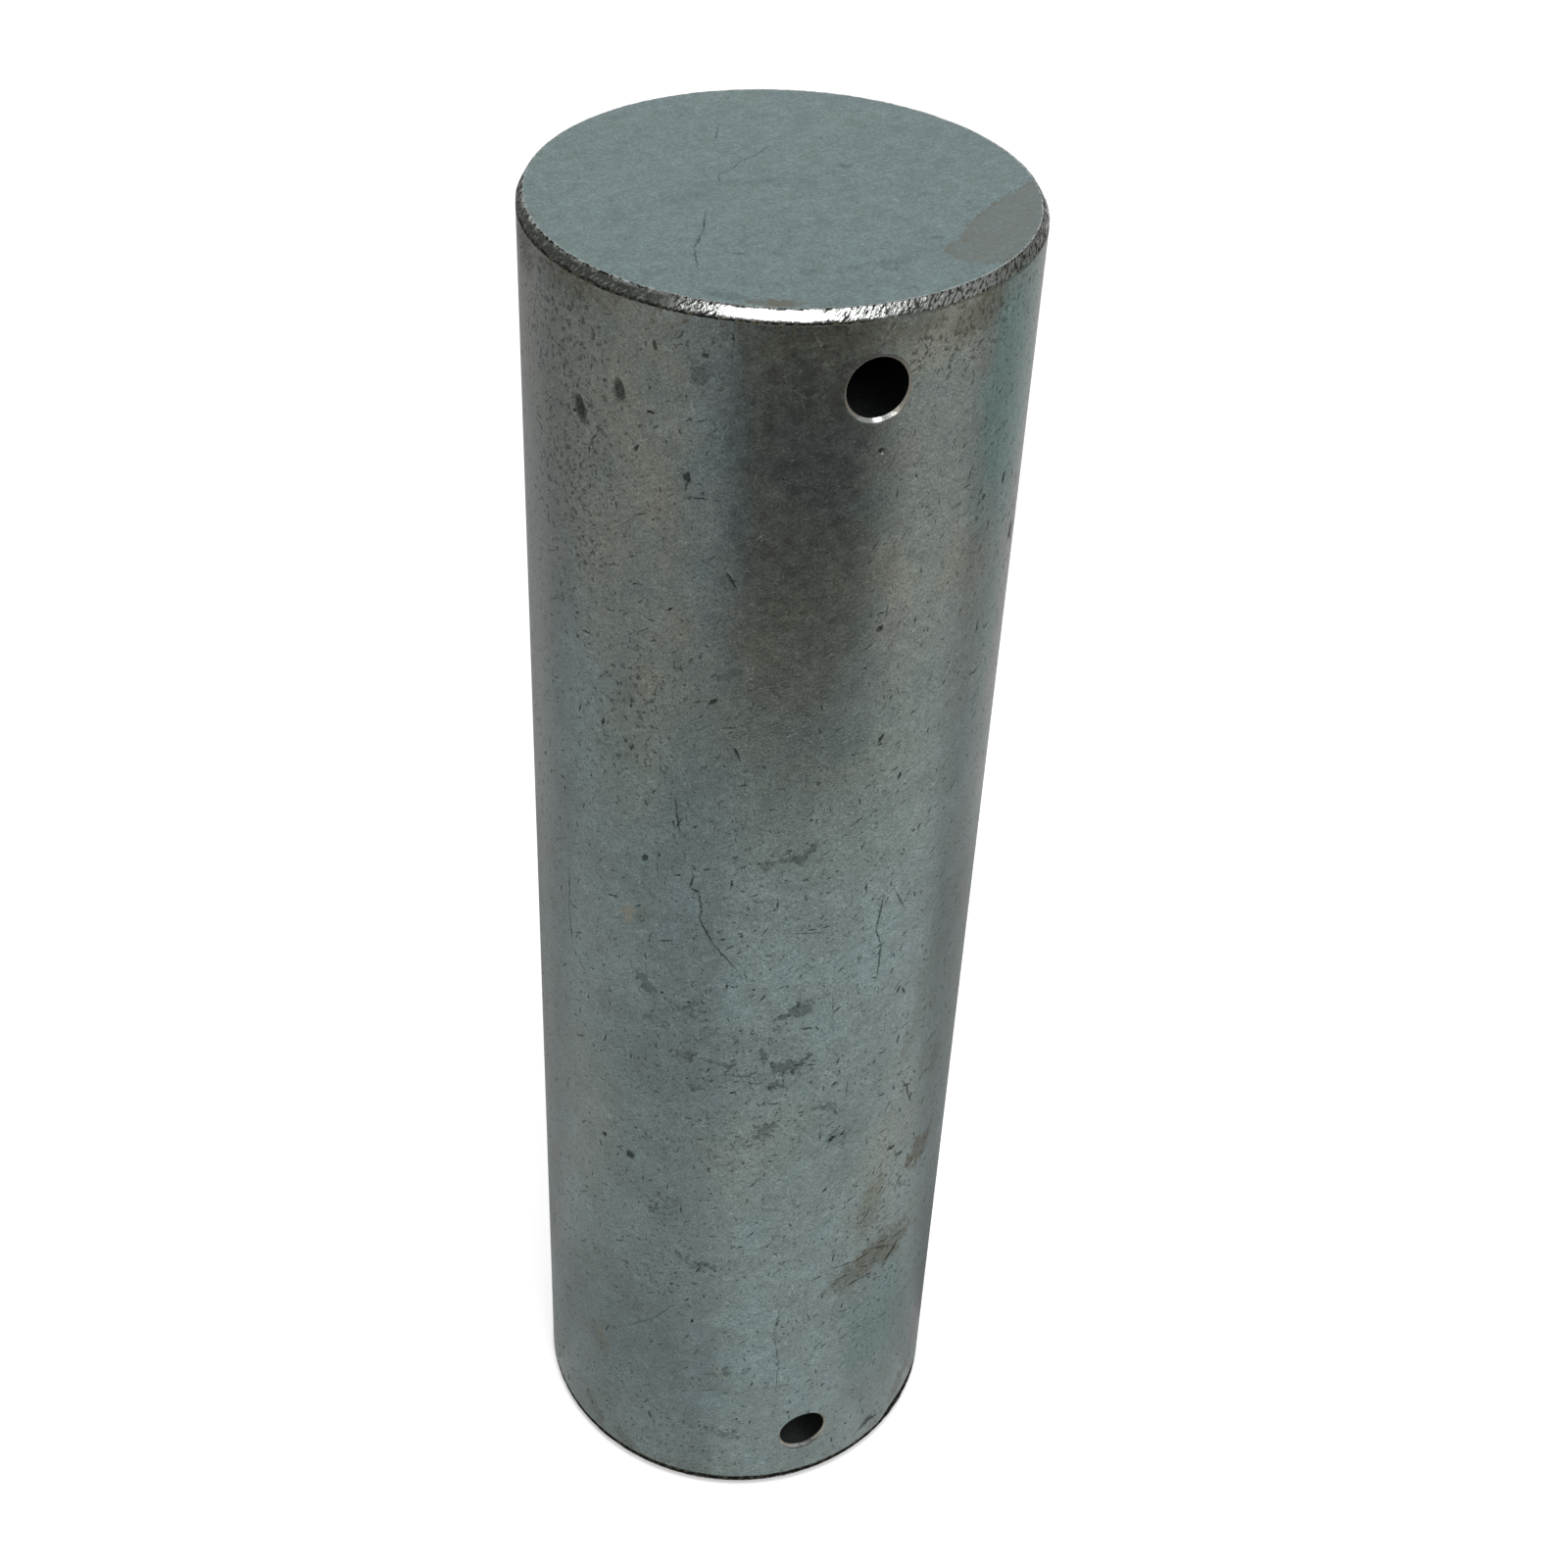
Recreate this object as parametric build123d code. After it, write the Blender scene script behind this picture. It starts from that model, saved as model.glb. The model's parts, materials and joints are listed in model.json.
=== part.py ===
"""Steel pin with a cross hole near each end, in millimetres.

One turned bar, drilled twice. It stands on its lower end, with the origin in the
middle of that end, +Z up the pin's axis and both cross holes along Y.
"""
from build123d import *
import os

# the bar
pin_diameter = 50.0
pin_length = 167.0

# the lead-in at each end: how far it runs along the pin, and how deep it cuts in
end_chamfer_length = 1.0
end_chamfer_depth = 0.6

# the cross holes for retaining pins, one near each end and both the same way round
upper_hole_diameter = 6.0
lower_hole_diameter = 6.0
upper_hole_to_end = 8.0
lower_hole_to_end = 9.5

# the light countersink at both mouths of a cross hole
mouth_chamfer = 0.45

pin_radius = pin_diameter / 2


def bar():
    """The turned bar: its half section, revolved about the pin's axis."""
    half_section = Polyline(
        (0, 0, 0),
        (pin_radius - end_chamfer_depth, 0, 0),
        (pin_radius, 0, end_chamfer_length),
        (pin_radius, 0, pin_length - end_chamfer_length),
        (pin_radius - end_chamfer_depth, 0, pin_length),
        (0, 0, pin_length),
        close=True,
    )
    return revolve(make_face(half_section), axis=Axis.Z)


def cross_hole(hole_diameter, height):
    """What a cross hole takes out: a through bore along Y with a 45 degree cone at each mouth."""
    bore_radius = hole_diameter / 2
    mouth_radius = bore_radius + mouth_chamfer
    # each cone has the mouth radius at the bar's side, and runs on as far again outside it
    outside = pin_radius + mouth_chamfer
    inside = pin_radius - mouth_chamfer
    half_section = Polyline(
        (0, -outside, 0),
        (mouth_radius + mouth_chamfer, -outside, 0),
        (bore_radius, -inside, 0),
        (bore_radius, inside, 0),
        (mouth_radius + mouth_chamfer, outside, 0),
        (0, outside, 0),
        close=True,
    )
    return Pos(0, 0, height) * revolve(make_face(half_section), axis=Axis.Y)


def steel_pin():
    """The bar with both cross holes drilled."""
    pin = bar()
    pin -= cross_hole(upper_hole_diameter, pin_length - upper_hole_to_end)
    pin -= cross_hole(lower_hole_diameter, lower_hole_to_end)
    return pin


os.makedirs("parts", exist_ok=True)
export_step(steel_pin(), "parts/steel_pin.step")
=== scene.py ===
"""Looks of a worn zinc plated steel pin: its dense mesh, plating, floor, lights and camera.

The pin's own mesh is worked out in millimetres and its marks are placed by the pixels where the
photograph, 1600 pixels square, shows them.
"""
import json
import math
import random
from collections import namedtuple
from functools import reduce

import bpy
import numpy as np
from mathutils import Matrix, Vector, noise


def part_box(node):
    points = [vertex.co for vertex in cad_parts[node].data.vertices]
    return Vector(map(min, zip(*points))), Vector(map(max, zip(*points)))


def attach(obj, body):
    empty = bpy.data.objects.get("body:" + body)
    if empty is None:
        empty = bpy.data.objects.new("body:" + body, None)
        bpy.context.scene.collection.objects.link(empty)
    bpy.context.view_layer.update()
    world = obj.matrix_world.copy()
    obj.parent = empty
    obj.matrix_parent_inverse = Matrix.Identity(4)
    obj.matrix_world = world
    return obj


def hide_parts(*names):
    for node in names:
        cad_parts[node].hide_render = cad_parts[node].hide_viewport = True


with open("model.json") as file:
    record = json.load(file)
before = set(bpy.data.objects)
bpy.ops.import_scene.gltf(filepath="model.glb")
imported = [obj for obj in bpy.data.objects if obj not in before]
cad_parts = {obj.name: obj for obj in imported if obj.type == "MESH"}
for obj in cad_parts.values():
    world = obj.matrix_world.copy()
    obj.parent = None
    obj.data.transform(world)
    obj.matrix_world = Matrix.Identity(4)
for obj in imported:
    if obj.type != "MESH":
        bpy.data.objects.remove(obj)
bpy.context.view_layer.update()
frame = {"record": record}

MM = 0.001

# the pin's sizes in millimetres, read from the frame
NODE = "steel_pin"
MOUNTS = {mount["name"]: mount for mount in frame["record"]["mounts"]}
LENGTH = (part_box(NODE)[1][2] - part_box(NODE)[0][2]) / MM
RADIUS = MOUNTS["shank"]["dims"]["r_mm"]
CHAMFER_LENGTH = (LENGTH - MOUNTS["shank"]["dims"]["length_mm"]) / 2
CHAMFER_DEPTH = 0.6
FACE_REACH = RADIUS - CHAMFER_DEPTH
BORE_RADIUS = MOUNTS["upper_cross_hole"]["dims"]["r_mm"]
MOUTH_CHAMFER = 0.45
HOLE_HEIGHTS = [MOUNTS[name]["pos_m"][2] / MM for name in ("lower_cross_hole", "upper_cross_hole")]

# the photograph's camera, in millimetres, pixels and degrees; azimuth runs from -Y towards +X
PHOTO_SIDE = 1600
FOCAL_PIXELS = 2353.9
CAMERA_AZIMUTH = -21.5
CAMERA_REACH = 203.9
CAMERA_HEIGHT = 256.8
CAMERA_YAW = -0.804
CAMERA_PITCH = 38.215
CAMERA_ROLL = -2.923
SENSOR = 36.0
# in metres
NEAREST = 0.01


def turned(first, second, degrees):
    """Two axes at right angles, both turned in their plane."""
    turn = math.radians(degrees)
    along, across = math.cos(turn), math.sin(turn)
    return along * first - across * second, along * second + across * first


def camera_axes():
    """Right, up and forward of the photograph's camera, and where it stands."""
    yaw = Matrix.Rotation(math.radians(CAMERA_YAW), 3, "Z")
    right, up, ahead = yaw @ Vector((1, 0, 0)), Vector((0, 0, 1)), yaw @ Vector((0, 1, 0))
    ahead, up = turned(ahead, up, CAMERA_PITCH)
    right, up = turned(right, up, CAMERA_ROLL)
    turn = Matrix.Rotation(math.radians(CAMERA_AZIMUTH), 3, "Z")
    place = turn @ Vector((0, -CAMERA_REACH, CAMERA_HEIGHT))
    return turn @ right, turn @ up, turn @ ahead, place


def pin_point(px, py):
    """Where the photograph's pixel lies on the pin: on its upper face, or else on its side."""
    right, up, ahead, eye = camera_axes()
    middle = PHOTO_SIDE / 2
    ray = ahead + right * ((px - middle) / FOCAL_PIXELS) - up * ((py - middle) / FOCAL_PIXELS)
    on_top = eye + ray * ((LENGTH - eye.z) / ray.z)
    if math.hypot(on_top.x, on_top.y) <= FACE_REACH:
        return on_top
    a = ray.x ** 2 + ray.y ** 2
    b = eye.x * ray.x + eye.y * ray.y
    c = eye.x ** 2 + eye.y ** 2 - RADIUS ** 2
    return eye + ray * ((-b - math.sqrt(max(b * b - a * c, 0.0))) / a)


def unrolled(point):
    """A point on the side as (distance round from -Y, height), in millimetres."""
    return RADIUS * math.atan2(point.x, -point.y), point.z


def side_place(px, py):
    """Where a pixel lies on the unrolled side."""
    return unrolled(pin_point(px, py))


def top_place(px, py):
    """Where a pixel lies on the upper face, in millimetres from the axis."""
    point = pin_point(px, py)
    return point.x, point.y


# the marks that the photograph shows, by pixel, with their half length and half width in millimetres;
# turn is how far a mark's length leans up from the horizontal on the unrolled side, in degrees
Mark = namedtuple("Mark", "what px py long wide turn depth")


def marks(*rows):
    return [Mark(*row) for row in rows]


PITS = marks(
    ("oval pit, right", 632, 397, 1.15, 0.72, 105, 0.08),
    ("oval pit, left", 592, 415, 1.5, 0.85, 110, 0.08),
    ("sharp nick", 701, 487, 0.62, 0.3, 80, 0.16),
    ("short dent", 774, 553, 0.6, 0.2, 60, 0.08),
    ("dot under the hole", 900, 460, 0.36, 0.28, 45, 0.2),
    ("V nick", 1024, 487, 0.7, 0.4, 75, 0.1),
    ("edge pit", 1031, 540, 1.1, 0.5, 90, 0.25),
    ("nick by the V", 1004, 507, 0.5, 0.3, 20, 0.1),
    ("upright nick, right", 997, 639, 0.85, 0.16, 82, 0.12),
    ("flat dent", 898, 641, 0.55, 0.35, 30, 0.06),
    ("long dent", 747, 594, 1.35, 0.2, 118, 0.12),
    ("small dent", 649, 457, 0.6, 0.22, 50, 0.08),
    ("small dent, upper", 720, 363, 0.5, 0.3, 10, 0.07),
    ("small dent, higher", 668, 352, 0.55, 0.24, 100, 0.07),
    ("leaning dent", 752, 769, 0.9, 0.16, 115, 0.1),
    ("pair of nicks", 728, 716, 0.8, 0.3, 35, 0.1),
    ("nick, right of the middle", 899, 753, 0.6, 0.18, 60, 0.1),
    ("nick, low right", 918, 791, 0.5, 0.2, 70, 0.08),
    ("soft dent", 658, 875, 0.6, 0.4, 40, 0.07),
    ("round pit", 643, 1178, 0.75, 0.72, 0, 0.06),
    ("tick", 706, 1348, 0.42, 0.2, 75, 0.14),
    ("tick, left", 685, 1310, 0.5, 0.18, 20, 0.1),
    ("nick above the foot", 663, 1443, 0.75, 0.2, 110, 0.09),
    ("dot, low left", 617, 1157, 0.45, 0.35, 30, 0.08),
    ("tick above the lower hole", 839, 1413, 0.42, 0.18, 40, 0.14),
    ("tick, lower middle", 851, 1106, 0.5, 0.16, 40, 0.12),
)

# brown films of dirt and old oil
STAINS = marks(
    ("big stain, low end", 868, 1300, 3.6, 2.2, 28, 0.8),
    ("big stain, middle", 888, 1281, 4.6, 2.5, 36, 1.0),
    ("big stain, high end", 912, 1266, 3.6, 2.6, 34, 0.85),
    ("streak above the big stain", 888, 1230, 5.4, 1.8, 78, 0.55),
    ("patch by the right edge", 936, 1174, 2.4, 2.3, 20, 1.3),
    ("patch by the right edge, arm", 944, 1163, 2.2, 1.3, 70, 0.8),
    ("smear by the right edge", 953, 1077, 2.8, 1.0, 75, 0.6),
    ("by the yellow spot", 656, 934, 1.2, 0.7, 70, 0.45),
    ("under the rim, left edge", 534, 250, 3.4, 2.6, 0, 0.95),
    ("under the rim, left", 580, 290, 6.0, 1.0, 0, 0.5),
    ("light spot, low left", 612, 1366, 2.6, 1.2, 115, 0.4),
    ("faint patch", 639, 712, 3.4, 1.5, 60, 0.18),
    ("faint patch, lower", 647, 765, 2.2, 1.2, 30, 0.15),
    ("foot, right", 915, 1412, 3.0, 1.3, 35, 0.7),
    ("foot, by the hole", 880, 1484, 4.5, 1.1, 22, 0.7),
    ("foot, left", 610, 1440, 3.0, 1.2, 130, 0.5),
    ("foot, front", 640, 1470, 3.4, 1.0, 150, 0.45),
    ("under the rim, front", 822, 352, 6.0, 1.2, 0, 0.4),
    ("under the rim, right", 1000, 322, 4.5, 1.8, 12, 0.7),
    ("beside the upper hole", 940, 335, 3.0, 1.2, 10, 0.55),
    ("right edge, upright", 934, 1040, 7.0, 1.3, 80, 0.45),
)

# light yellow films
YELLOW_FILMS = marks(
    ("yellow spot", 641, 930, 1.5, 0.8, 100, 0.9),
    ("low left", 616, 1366, 1.8, 0.8, 115, 0.4),
    ("above the lower hole", 737, 1400, 1.6, 0.7, 100, 0.35),
)

# dull grey patches where the plating is scuffed
SCUFFS = marks(
    ("right, body", 799, 1092, 2.2, 1.2, 15, 0.95),
    ("right, upright arm", 780, 1077, 1.7, 0.55, 92, 0.9),
    ("right, raised arm", 820, 1079, 1.3, 0.6, 25, 0.9),
    ("right, below", 790, 1110, 1.1, 0.65, 10, 0.85),
    ("left, clump", 703, 1078, 0.9, 1.1, 80, 0.95),
    ("left, arm", 735, 1086, 2.4, 0.42, 172, 0.95),
    ("left, lower line", 755, 1096, 1.9, 0.28, 8, 0.9),
    ("left, tail", 708, 1108, 1.3, 0.5, 160, 0.8),
    ("upper right, feather", 808, 1034, 2.4, 0.85, 25, 0.85),
    ("upper right, tip", 824, 1027, 0.9, 1.0, 60, 0.8),
    ("curved patch", 656, 1000, 1.9, 0.8, 115, 0.9),
    ("curved patch, end", 667, 1010, 1.0, 0.7, 160, 0.9),
    ("clump, left of the middle", 662, 1040, 1.1, 0.8, 30, 0.7),
    ("rub, middle", 815, 874, 2.6, 0.8, 15, 0.9),
    ("rub, left of it", 790, 882, 1.6, 0.6, 20, 0.8),
    ("rub, right", 842, 1130, 2.6, 1.0, 160, 0.7),
    ("rub, below it", 783, 1153, 1.8, 1.0, 20, 0.75),
    ("rub, right of it", 859, 1160, 1.4, 0.8, 20, 0.7),
    ("broad faint patch", 676, 1232, 3.4, 2.2, 60, 0.5),
    ("rub, low", 712, 1290, 3.4, 0.9, 165, 0.65),
    ("rub, lower", 745, 1400, 3.2, 1.0, 15, 0.55),
    ("rub, foot", 735, 1462, 3.0, 1.0, 0, 0.6),
    ("dull field, left of the middle", 700, 1033, 4.2, 1.8, 20, 0.5),
    ("high left", 640, 700, 2.4, 1.2, 70, 0.45),
    ("high, left of the middle", 745, 690, 1.2, 0.9, 40, 0.8),
    ("left, by the edge", 640, 765, 1.8, 1.0, 100, 0.4),
    ("upper left, clump", 720, 384, 1.5, 0.7, 10, 0.8),
)

# broad soft tints: partly the plating's own, and partly painted reflection: the brown on the upper side
# of a warm floor, the teal at the upper right edge of the surroundings
BROWN_TINTS = marks(
    ("upper left", 610, 440, 26.0, 9.0, 90, 0.9),
    ("left, lower", 640, 690, 9.0, 7.0, 90, 0.6),
    ("right of the dark band", 925, 560, 22.0, 5.0, 92, 0.8),
    ("right", 1000, 480, 15.0, 3.5, 92, 0.5),
    ("lower right", 905, 1180, 13.0, 3.6, 80, 0.6),
    ("left edge, low", 600, 1130, 10.0, 4.0, 90, 0.5),
    ("middle, right", 930, 720, 9.0, 5.0, 100, 0.4),
    ("low, middle", 760, 1180, 9.0, 4.0, 60, 0.4),
)
BLUE_TINTS = marks(
    ("left of the dark band", 735, 470, 24.0, 2.8, 90, 0.6),
    ("left edge, middle", 580, 720, 14.0, 4.5, 90, 0.7),
    ("foot, left", 700, 1400, 9.0, 9.0, 0, 0.6),
    ("right edge, middle", 985, 760, 10.0, 3.0, 90, 0.6),
    ("middle", 700, 880, 14.0, 5.0, 80, 0.5),
)
TEAL_TINTS = marks(
    ("right edge", 1034, 400, 15.0, 5.2, 92, 1.0),
    ("right edge, lower", 1010, 620, 12.0, 2.6, 92, 0.5),
    ("foot, right", 900, 1340, 10.0, 5.0, 90, 0.5),
)
PURPLE_TINTS = marks(
    ("lower right edge", 934, 1345, 8.0, 1.8, 90, 0.8),
    ("left edge, low", 572, 1250, 14.0, 2.5, 90, 0.4),
)
# where the plating has flaked and pitted most
WORN = marks(
    ("upper left", 580, 400, 20.0, 7.0, 92, 1.0),
    ("left, lower", 640, 720, 12.0, 7.0, 80, 0.6),
    ("under the rim, front", 800, 360, 12.0, 2.4, 0, 0.6),
    ("under the rim, right", 1000, 330, 9.0, 4.0, 0, 1.0),
    ("right edge", 1015, 490, 12.0, 4.0, 92, 0.7),
    ("low, middle", 760, 1120, 14.0, 12.0, 60, 0.5),
    ("lower right", 905, 1260, 20.0, 6.0, 85, 0.7),
)

# cracks in the plating, each a line of pixels
CRACKS = [
    ("long crack",
     ((707, 893), (705, 906), (713, 911), (716, 929), (714, 938), (727, 963), (749, 987)), 0.12),
    ("crack above it", ((689, 815), (693, 849)), 0.09),
    ("crack, right", ((902, 915), (894, 949), (899, 963), (895, 996)), 0.1),
    ("scratch, right", ((914, 910), (923, 927)), 0.08),
    ("flat scratch", ((806, 953), (840, 951)), 0.07),
    ("hairline, foot", ((796, 1335), (790, 1360), (794, 1392), (791, 1421)), 0.05),
    ("hairline, left", ((640, 1352), (668, 1344), (690, 1330)), 0.05),
    ("upright hairline", ((581, 884), (581, 930), (584, 960)), 0.09),
    ("upright hairline, lower", ((585, 966), (590, 978), (597, 990)), 0.08),
    ("tick, low right", ((915, 1013), (918, 1007)), 0.16),
    ("tick beside it", ((921, 1008), (923, 1013)), 0.14),
    ("upright tick", ((915, 1065), (917, 1056)), 0.12),
    ("upright line", ((896, 1006), (896, 1017)), 0.05),
    ("flat tick", ((897, 1118), (902, 1116)), 0.12),
    ("faint flat tick", ((913, 1087), (920, 1083)), 0.09),
    ("crooked crack", ((921, 1104), (925, 1109), (926, 1114), (929, 1123)), 0.13),
    ("knot on it", ((922, 1108), (928, 1106)), 0.16),
    ("forked crack", ((937, 1104), (941, 1095), (948, 1089)), 0.1),
    ("pair of ticks, left", ((937, 1126), (938, 1122)), 0.12),
    ("pair of ticks, right", ((940, 1127), (942, 1120)), 0.13),
    ("short tick", ((916, 1204), (919, 1200)), 0.18),
    ("leaning tick", ((901, 1216), (903, 1212)), 0.12),
    ("pair of dots, left", ((907, 1172), (911, 1170)), 0.3),
    ("pair of dots, right", ((915, 1178), (919, 1176)), 0.3),
    ("blot", ((845, 1164), (851, 1160)), 0.3),
    ("blot, upper", ((858, 1158), (861, 1155)), 0.2),
    ("tick by the edge", ((942, 1227), (945, 1220)), 0.12),
    ("flat streak", ((820, 1050), (827, 1049)), 0.16),
    ("flat streak, lower", ((824, 1087), (832, 1086)), 0.13),
    ("hairline, middle", ((850, 1016), (850, 1038)), 0.04),
    ("nick by the lower hole", ((881, 1453), (886, 1447)), 0.55),
    ("arm of the nick", ((884, 1449), (893, 1444)), 0.26),
    ("tail of the nick", ((875, 1460), (882, 1452)), 0.16),
    ("dot under the upper hole", ((897, 461), (901, 458)), 0.24),
    ("sharp nick", ((699, 486), (702, 490)), 0.3),
    ("stem of the sharp nick", ((701, 490), (700, 501)), 0.08),
    ("edge pit", ((1029, 546), (1031, 535)), 0.5),
]
# dark scratches through the big stain, and the rubbed place above it
STAIN_LINES = [
    ("upper scratch", ((850, 1294), (873, 1286), (887, 1278)), 0.1),
    ("lower scratch", ((865, 1311), (878, 1304), (889, 1298)), 0.13),
    ("middle scratch", ((877, 1293), (886, 1291), (897, 1285)), 0.08),
    ("high scratch", ((889, 1274), (907, 1270)), 0.11),
    ("higher scratch", ((896, 1268), (904, 1264)), 0.12),
    ("dark knot", ((904, 1284), (909, 1277), (915, 1266)), 0.28),
    ("leaning scratch", ((912, 1262), (920, 1255)), 0.13),
    ("single scratch", ((900, 1245), (908, 1238)), 0.08),
    ("steep scratch", ((879, 1248), (888, 1232)), 0.08),
    ("faint scratch", ((853, 1306), (868, 1300)), 0.07),
    ("scratch by the upper hole", ((930, 381), (940, 372)), 0.07),
    ("second scratch by the upper hole", ((927, 374), (936, 365)), 0.06),
    ("hook by the upper hole", ((943, 350), (947, 357), (944, 363)), 0.08),
]
TOP_CRACKS = [
    ("crack", ((720, 217), (717, 237), (708, 254), (712, 274)), 0.085),
    ("faint crack", ((784, 149), (771, 158), (757, 164), (746, 173), (733, 178), (734, 186)), 0.07),
    ("faint line", ((733, 129), (730, 143)), 0.08),
]
TOP_STAINS = marks(
    ("stain, body", 1028, 224, 8.0, 2.7, 62, 1.0),
    ("stain, back", 1051, 199, 3.4, 1.6, 66, 1.0),
    ("stain, foot", 1003, 256, 3.3, 2.4, 0, 1.0),
    ("stain, rim", 1052, 232, 7.0, 2.4, 70, 1.0),
    ("front edge", 792, 309, 3.4, 0.7, 0, 0.55),
)
TOP_SPOTS = marks(
    ("grey spot", 863, 169, 0.7, 0.5, 0, 0.7),
    ("small spot", 625, 205, 0.32, 0.28, 0, 0.8),
    ("spot by the stain", 957, 242, 0.55, 0.4, 20, 0.7),
    ("spot, right", 989, 206, 0.35, 0.3, 0, 0.7),
    ("rub, middle", 905, 268, 2.2, 0.5, 15, 0.45),
    ("smear, middle", 765, 186, 5.2, 0.9, 10, 0.3),
    ("smear, left of it", 700, 200, 2.6, 0.8, 30, 0.3),
    ("smear, front", 860, 275, 4.6, 0.8, 12, 0.25),
    ("smear, right", 900, 130, 3.6, 1.0, -15, 0.25),
    ("smear, front left", 745, 302, 1.8, 0.7, -10, 0.5),
    ("short mark", 754, 259, 0.5, 0.3, 0, 0.7),
)
TOP_SPECKS = marks(
    ("bright speck", 915, 204, 0.26, 0.16, 130, 1.0),
    ("light streak", 587, 185, 2.8, 0.16, 2, 0.4),
    ("bright tick", 783, 104, 0.4, 0.16, 10, 0.6),
)

# the broad tints: partly the plating's own, and in the brown and the teal partly painted reflection
GREY_TEAL = (0.134, 0.162, 0.157)
GREY_BLUE = (0.126, 0.157, 0.163)
GREY_BROWN = (0.141, 0.148, 0.128)
TEAL = (0.1, 0.17, 0.163)
PURPLE = (0.14, 0.137, 0.148)

# the mesh of the side: columns round it, and rows about 1.5 mm high that fit between the holes
COLUMNS = 480
ROWS_BETWEEN = round((HOLE_HEIGHTS[1] - HOLE_HEIGHTS[0]) / 1.5)
ROW = (HOLE_HEIGHTS[1] - HOLE_HEIGHTS[0]) / ROWS_BETWEEN
HOLE_ROWS = 7
HOLE_COLUMNS = 34
FIRST_ROW = HOLE_HEIGHTS[0] - HOLE_ROWS * ROW / 2
ROWS = ROWS_BETWEEN + HOLE_ROWS
ARC = 2 * math.pi * RADIUS / COLUMNS

Block = namedtuple("Block", "left right low high")

ZONES = ["side", "face", "rim", "bore"]


def places_in(block, first):
    """The block's cells with a first of 0, and with 1 the grid's vertices inside its border."""
    rows = range(block.low + first, block.high)
    return {(i % COLUMNS, j) for i in range(block.left + first, block.right) for j in rows}


class PinMesh:
    """The pin's vertices and faces, wound so that they face outwards."""

    def __init__(self):
        self.points = []
        self.faces = []
        self.pit = {}
        self.sharp = set()
        self.zones = []
        self.grid = {}
        self.taken = set()
        self.inside = set()

    def zone(self, name, first):
        """Gives the faces from the first one on to a zone, which has its own material."""
        self.zones.append((ZONES.index(name), first, len(self.faces)))

    def vertex(self, x, y, z):
        self.points.append((x, y, z))
        return len(self.points) - 1

    def on_side(self, around, height, sink=0.0):
        """A vertex on the side, at a distance round it and a height, sunk in by so much."""
        angle = around / RADIUS
        reach = RADIUS - sink
        return self.vertex(reach * math.sin(angle), -reach * math.cos(angle), height)

    def ring(self, count, reach, height):
        """A level ring of vertices round the axis."""
        angles = [i * (2 * math.pi / count) for i in range(count)]
        return [self.vertex(reach * math.sin(a), -reach * math.cos(a), height) for a in angles]

    def bridge(self, lower, upper):
        """Faces between two rings; one may have twice as many vertices as the other."""
        coarse, dense = sorted((lower, upper), key=len)
        for i in range(len(coarse)):
            j = (i + 1) % len(coarse)
            if len(lower) == len(upper):
                self.faces.append((lower[i], lower[j], upper[j], upper[i]))
                continue
            a, b, c = dense[2 * i], dense[2 * i + 1], dense[(2 * i + 2) % len(dense)]
            if dense is lower:
                self.faces += [(a, b, upper[i]), (b, upper[j], upper[i]), (b, c, upper[j])]
            else:
                self.faces += [(b, a, lower[i]), (b, lower[i], lower[j]), (c, b, lower[j])]

    def reserve(self, block):
        """Keeps a block of the grid's cells for a hole or a pit. False if another has some of them."""
        cells = places_in(block, 0)
        if block.low < 0 or block.high > ROWS or cells & self.taken:
            return False
        self.taken |= cells
        self.inside |= places_in(block, 1)
        return True

    def fill_grid(self):
        """The side's vertices and faces, apart from what is reserved."""
        for j in range(ROWS + 1):
            for i in range(COLUMNS):
                if (i, j) not in self.inside:
                    self.grid[i, j] = self.on_side(i * ARC, FIRST_ROW + j * ROW)
        for j in range(ROWS):
            for i in range(COLUMNS):
                if (i, j) not in self.taken:
                    k = (i + 1) % COLUMNS
                    corners = self.grid[i, j], self.grid[k, j], self.grid[k, j + 1], self.grid[i, j + 1]
                    self.faces.append(corners)

    def border(self, block):
        """The block's border as (distance round, height) and vertex, once round it."""
        loop = [(i, block.low) for i in range(block.left, block.right)]
        loop += [(block.right, j) for j in range(block.low, block.high)]
        loop += [(i, block.high) for i in range(block.right, block.left, -1)]
        loop += [(block.left, j) for j in range(block.high, block.low, -1)]
        places = [(i * ARC, FIRST_ROW + j * ROW) for i, j in loop]
        return places, [self.grid[i % COLUMNS, j] for i, j in loop]


def even_angles(places, centre, evenness):
    """Angles for a ring inside a block's border: true ones mixed with evenly spaced ones."""
    true = [math.atan2(z - centre[1], s - centre[0]) for s, z in places]
    start = true[0]
    rising = [start + (angle - start) % (2 * math.pi) for angle in true]
    count = len(rising)
    # evenly spaced angles that keep the ring's left half the mirror of its right half
    first = -math.pi / 2 - math.pi * HOLE_COLUMNS / count
    even = [first + 2 * math.pi * k / count for k in range(count)]
    return [(1 - evenness) * a + evenness * e for a, e in zip(rising, even)]


def hole_block(middle_column, height):
    """The block of cells round one mouth of a cross hole."""
    low = round((height - FIRST_ROW) / ROW - HOLE_ROWS / 2)
    half = HOLE_COLUMNS // 2
    return Block(middle_column - half, middle_column + half, low, low + HOLE_ROWS)


def mouth_reach(angle):
    """How far from its axis the mouth's cone meets the round side, in that direction."""
    reach = BORE_RADIUS + MOUTH_CHAMFER
    for _ in range(8):
        fall = RADIUS - math.sqrt(RADIUS ** 2 - (reach * math.cos(angle)) ** 2)
        reach = BORE_RADIUS + MOUTH_CHAMFER - fall
    return reach


# the rings round a mouth, as shares of the way from the block's border to the mouth
MOUTH_RINGS = (0.35, 0.65, 0.88, 0.97, 1.0)


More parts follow.
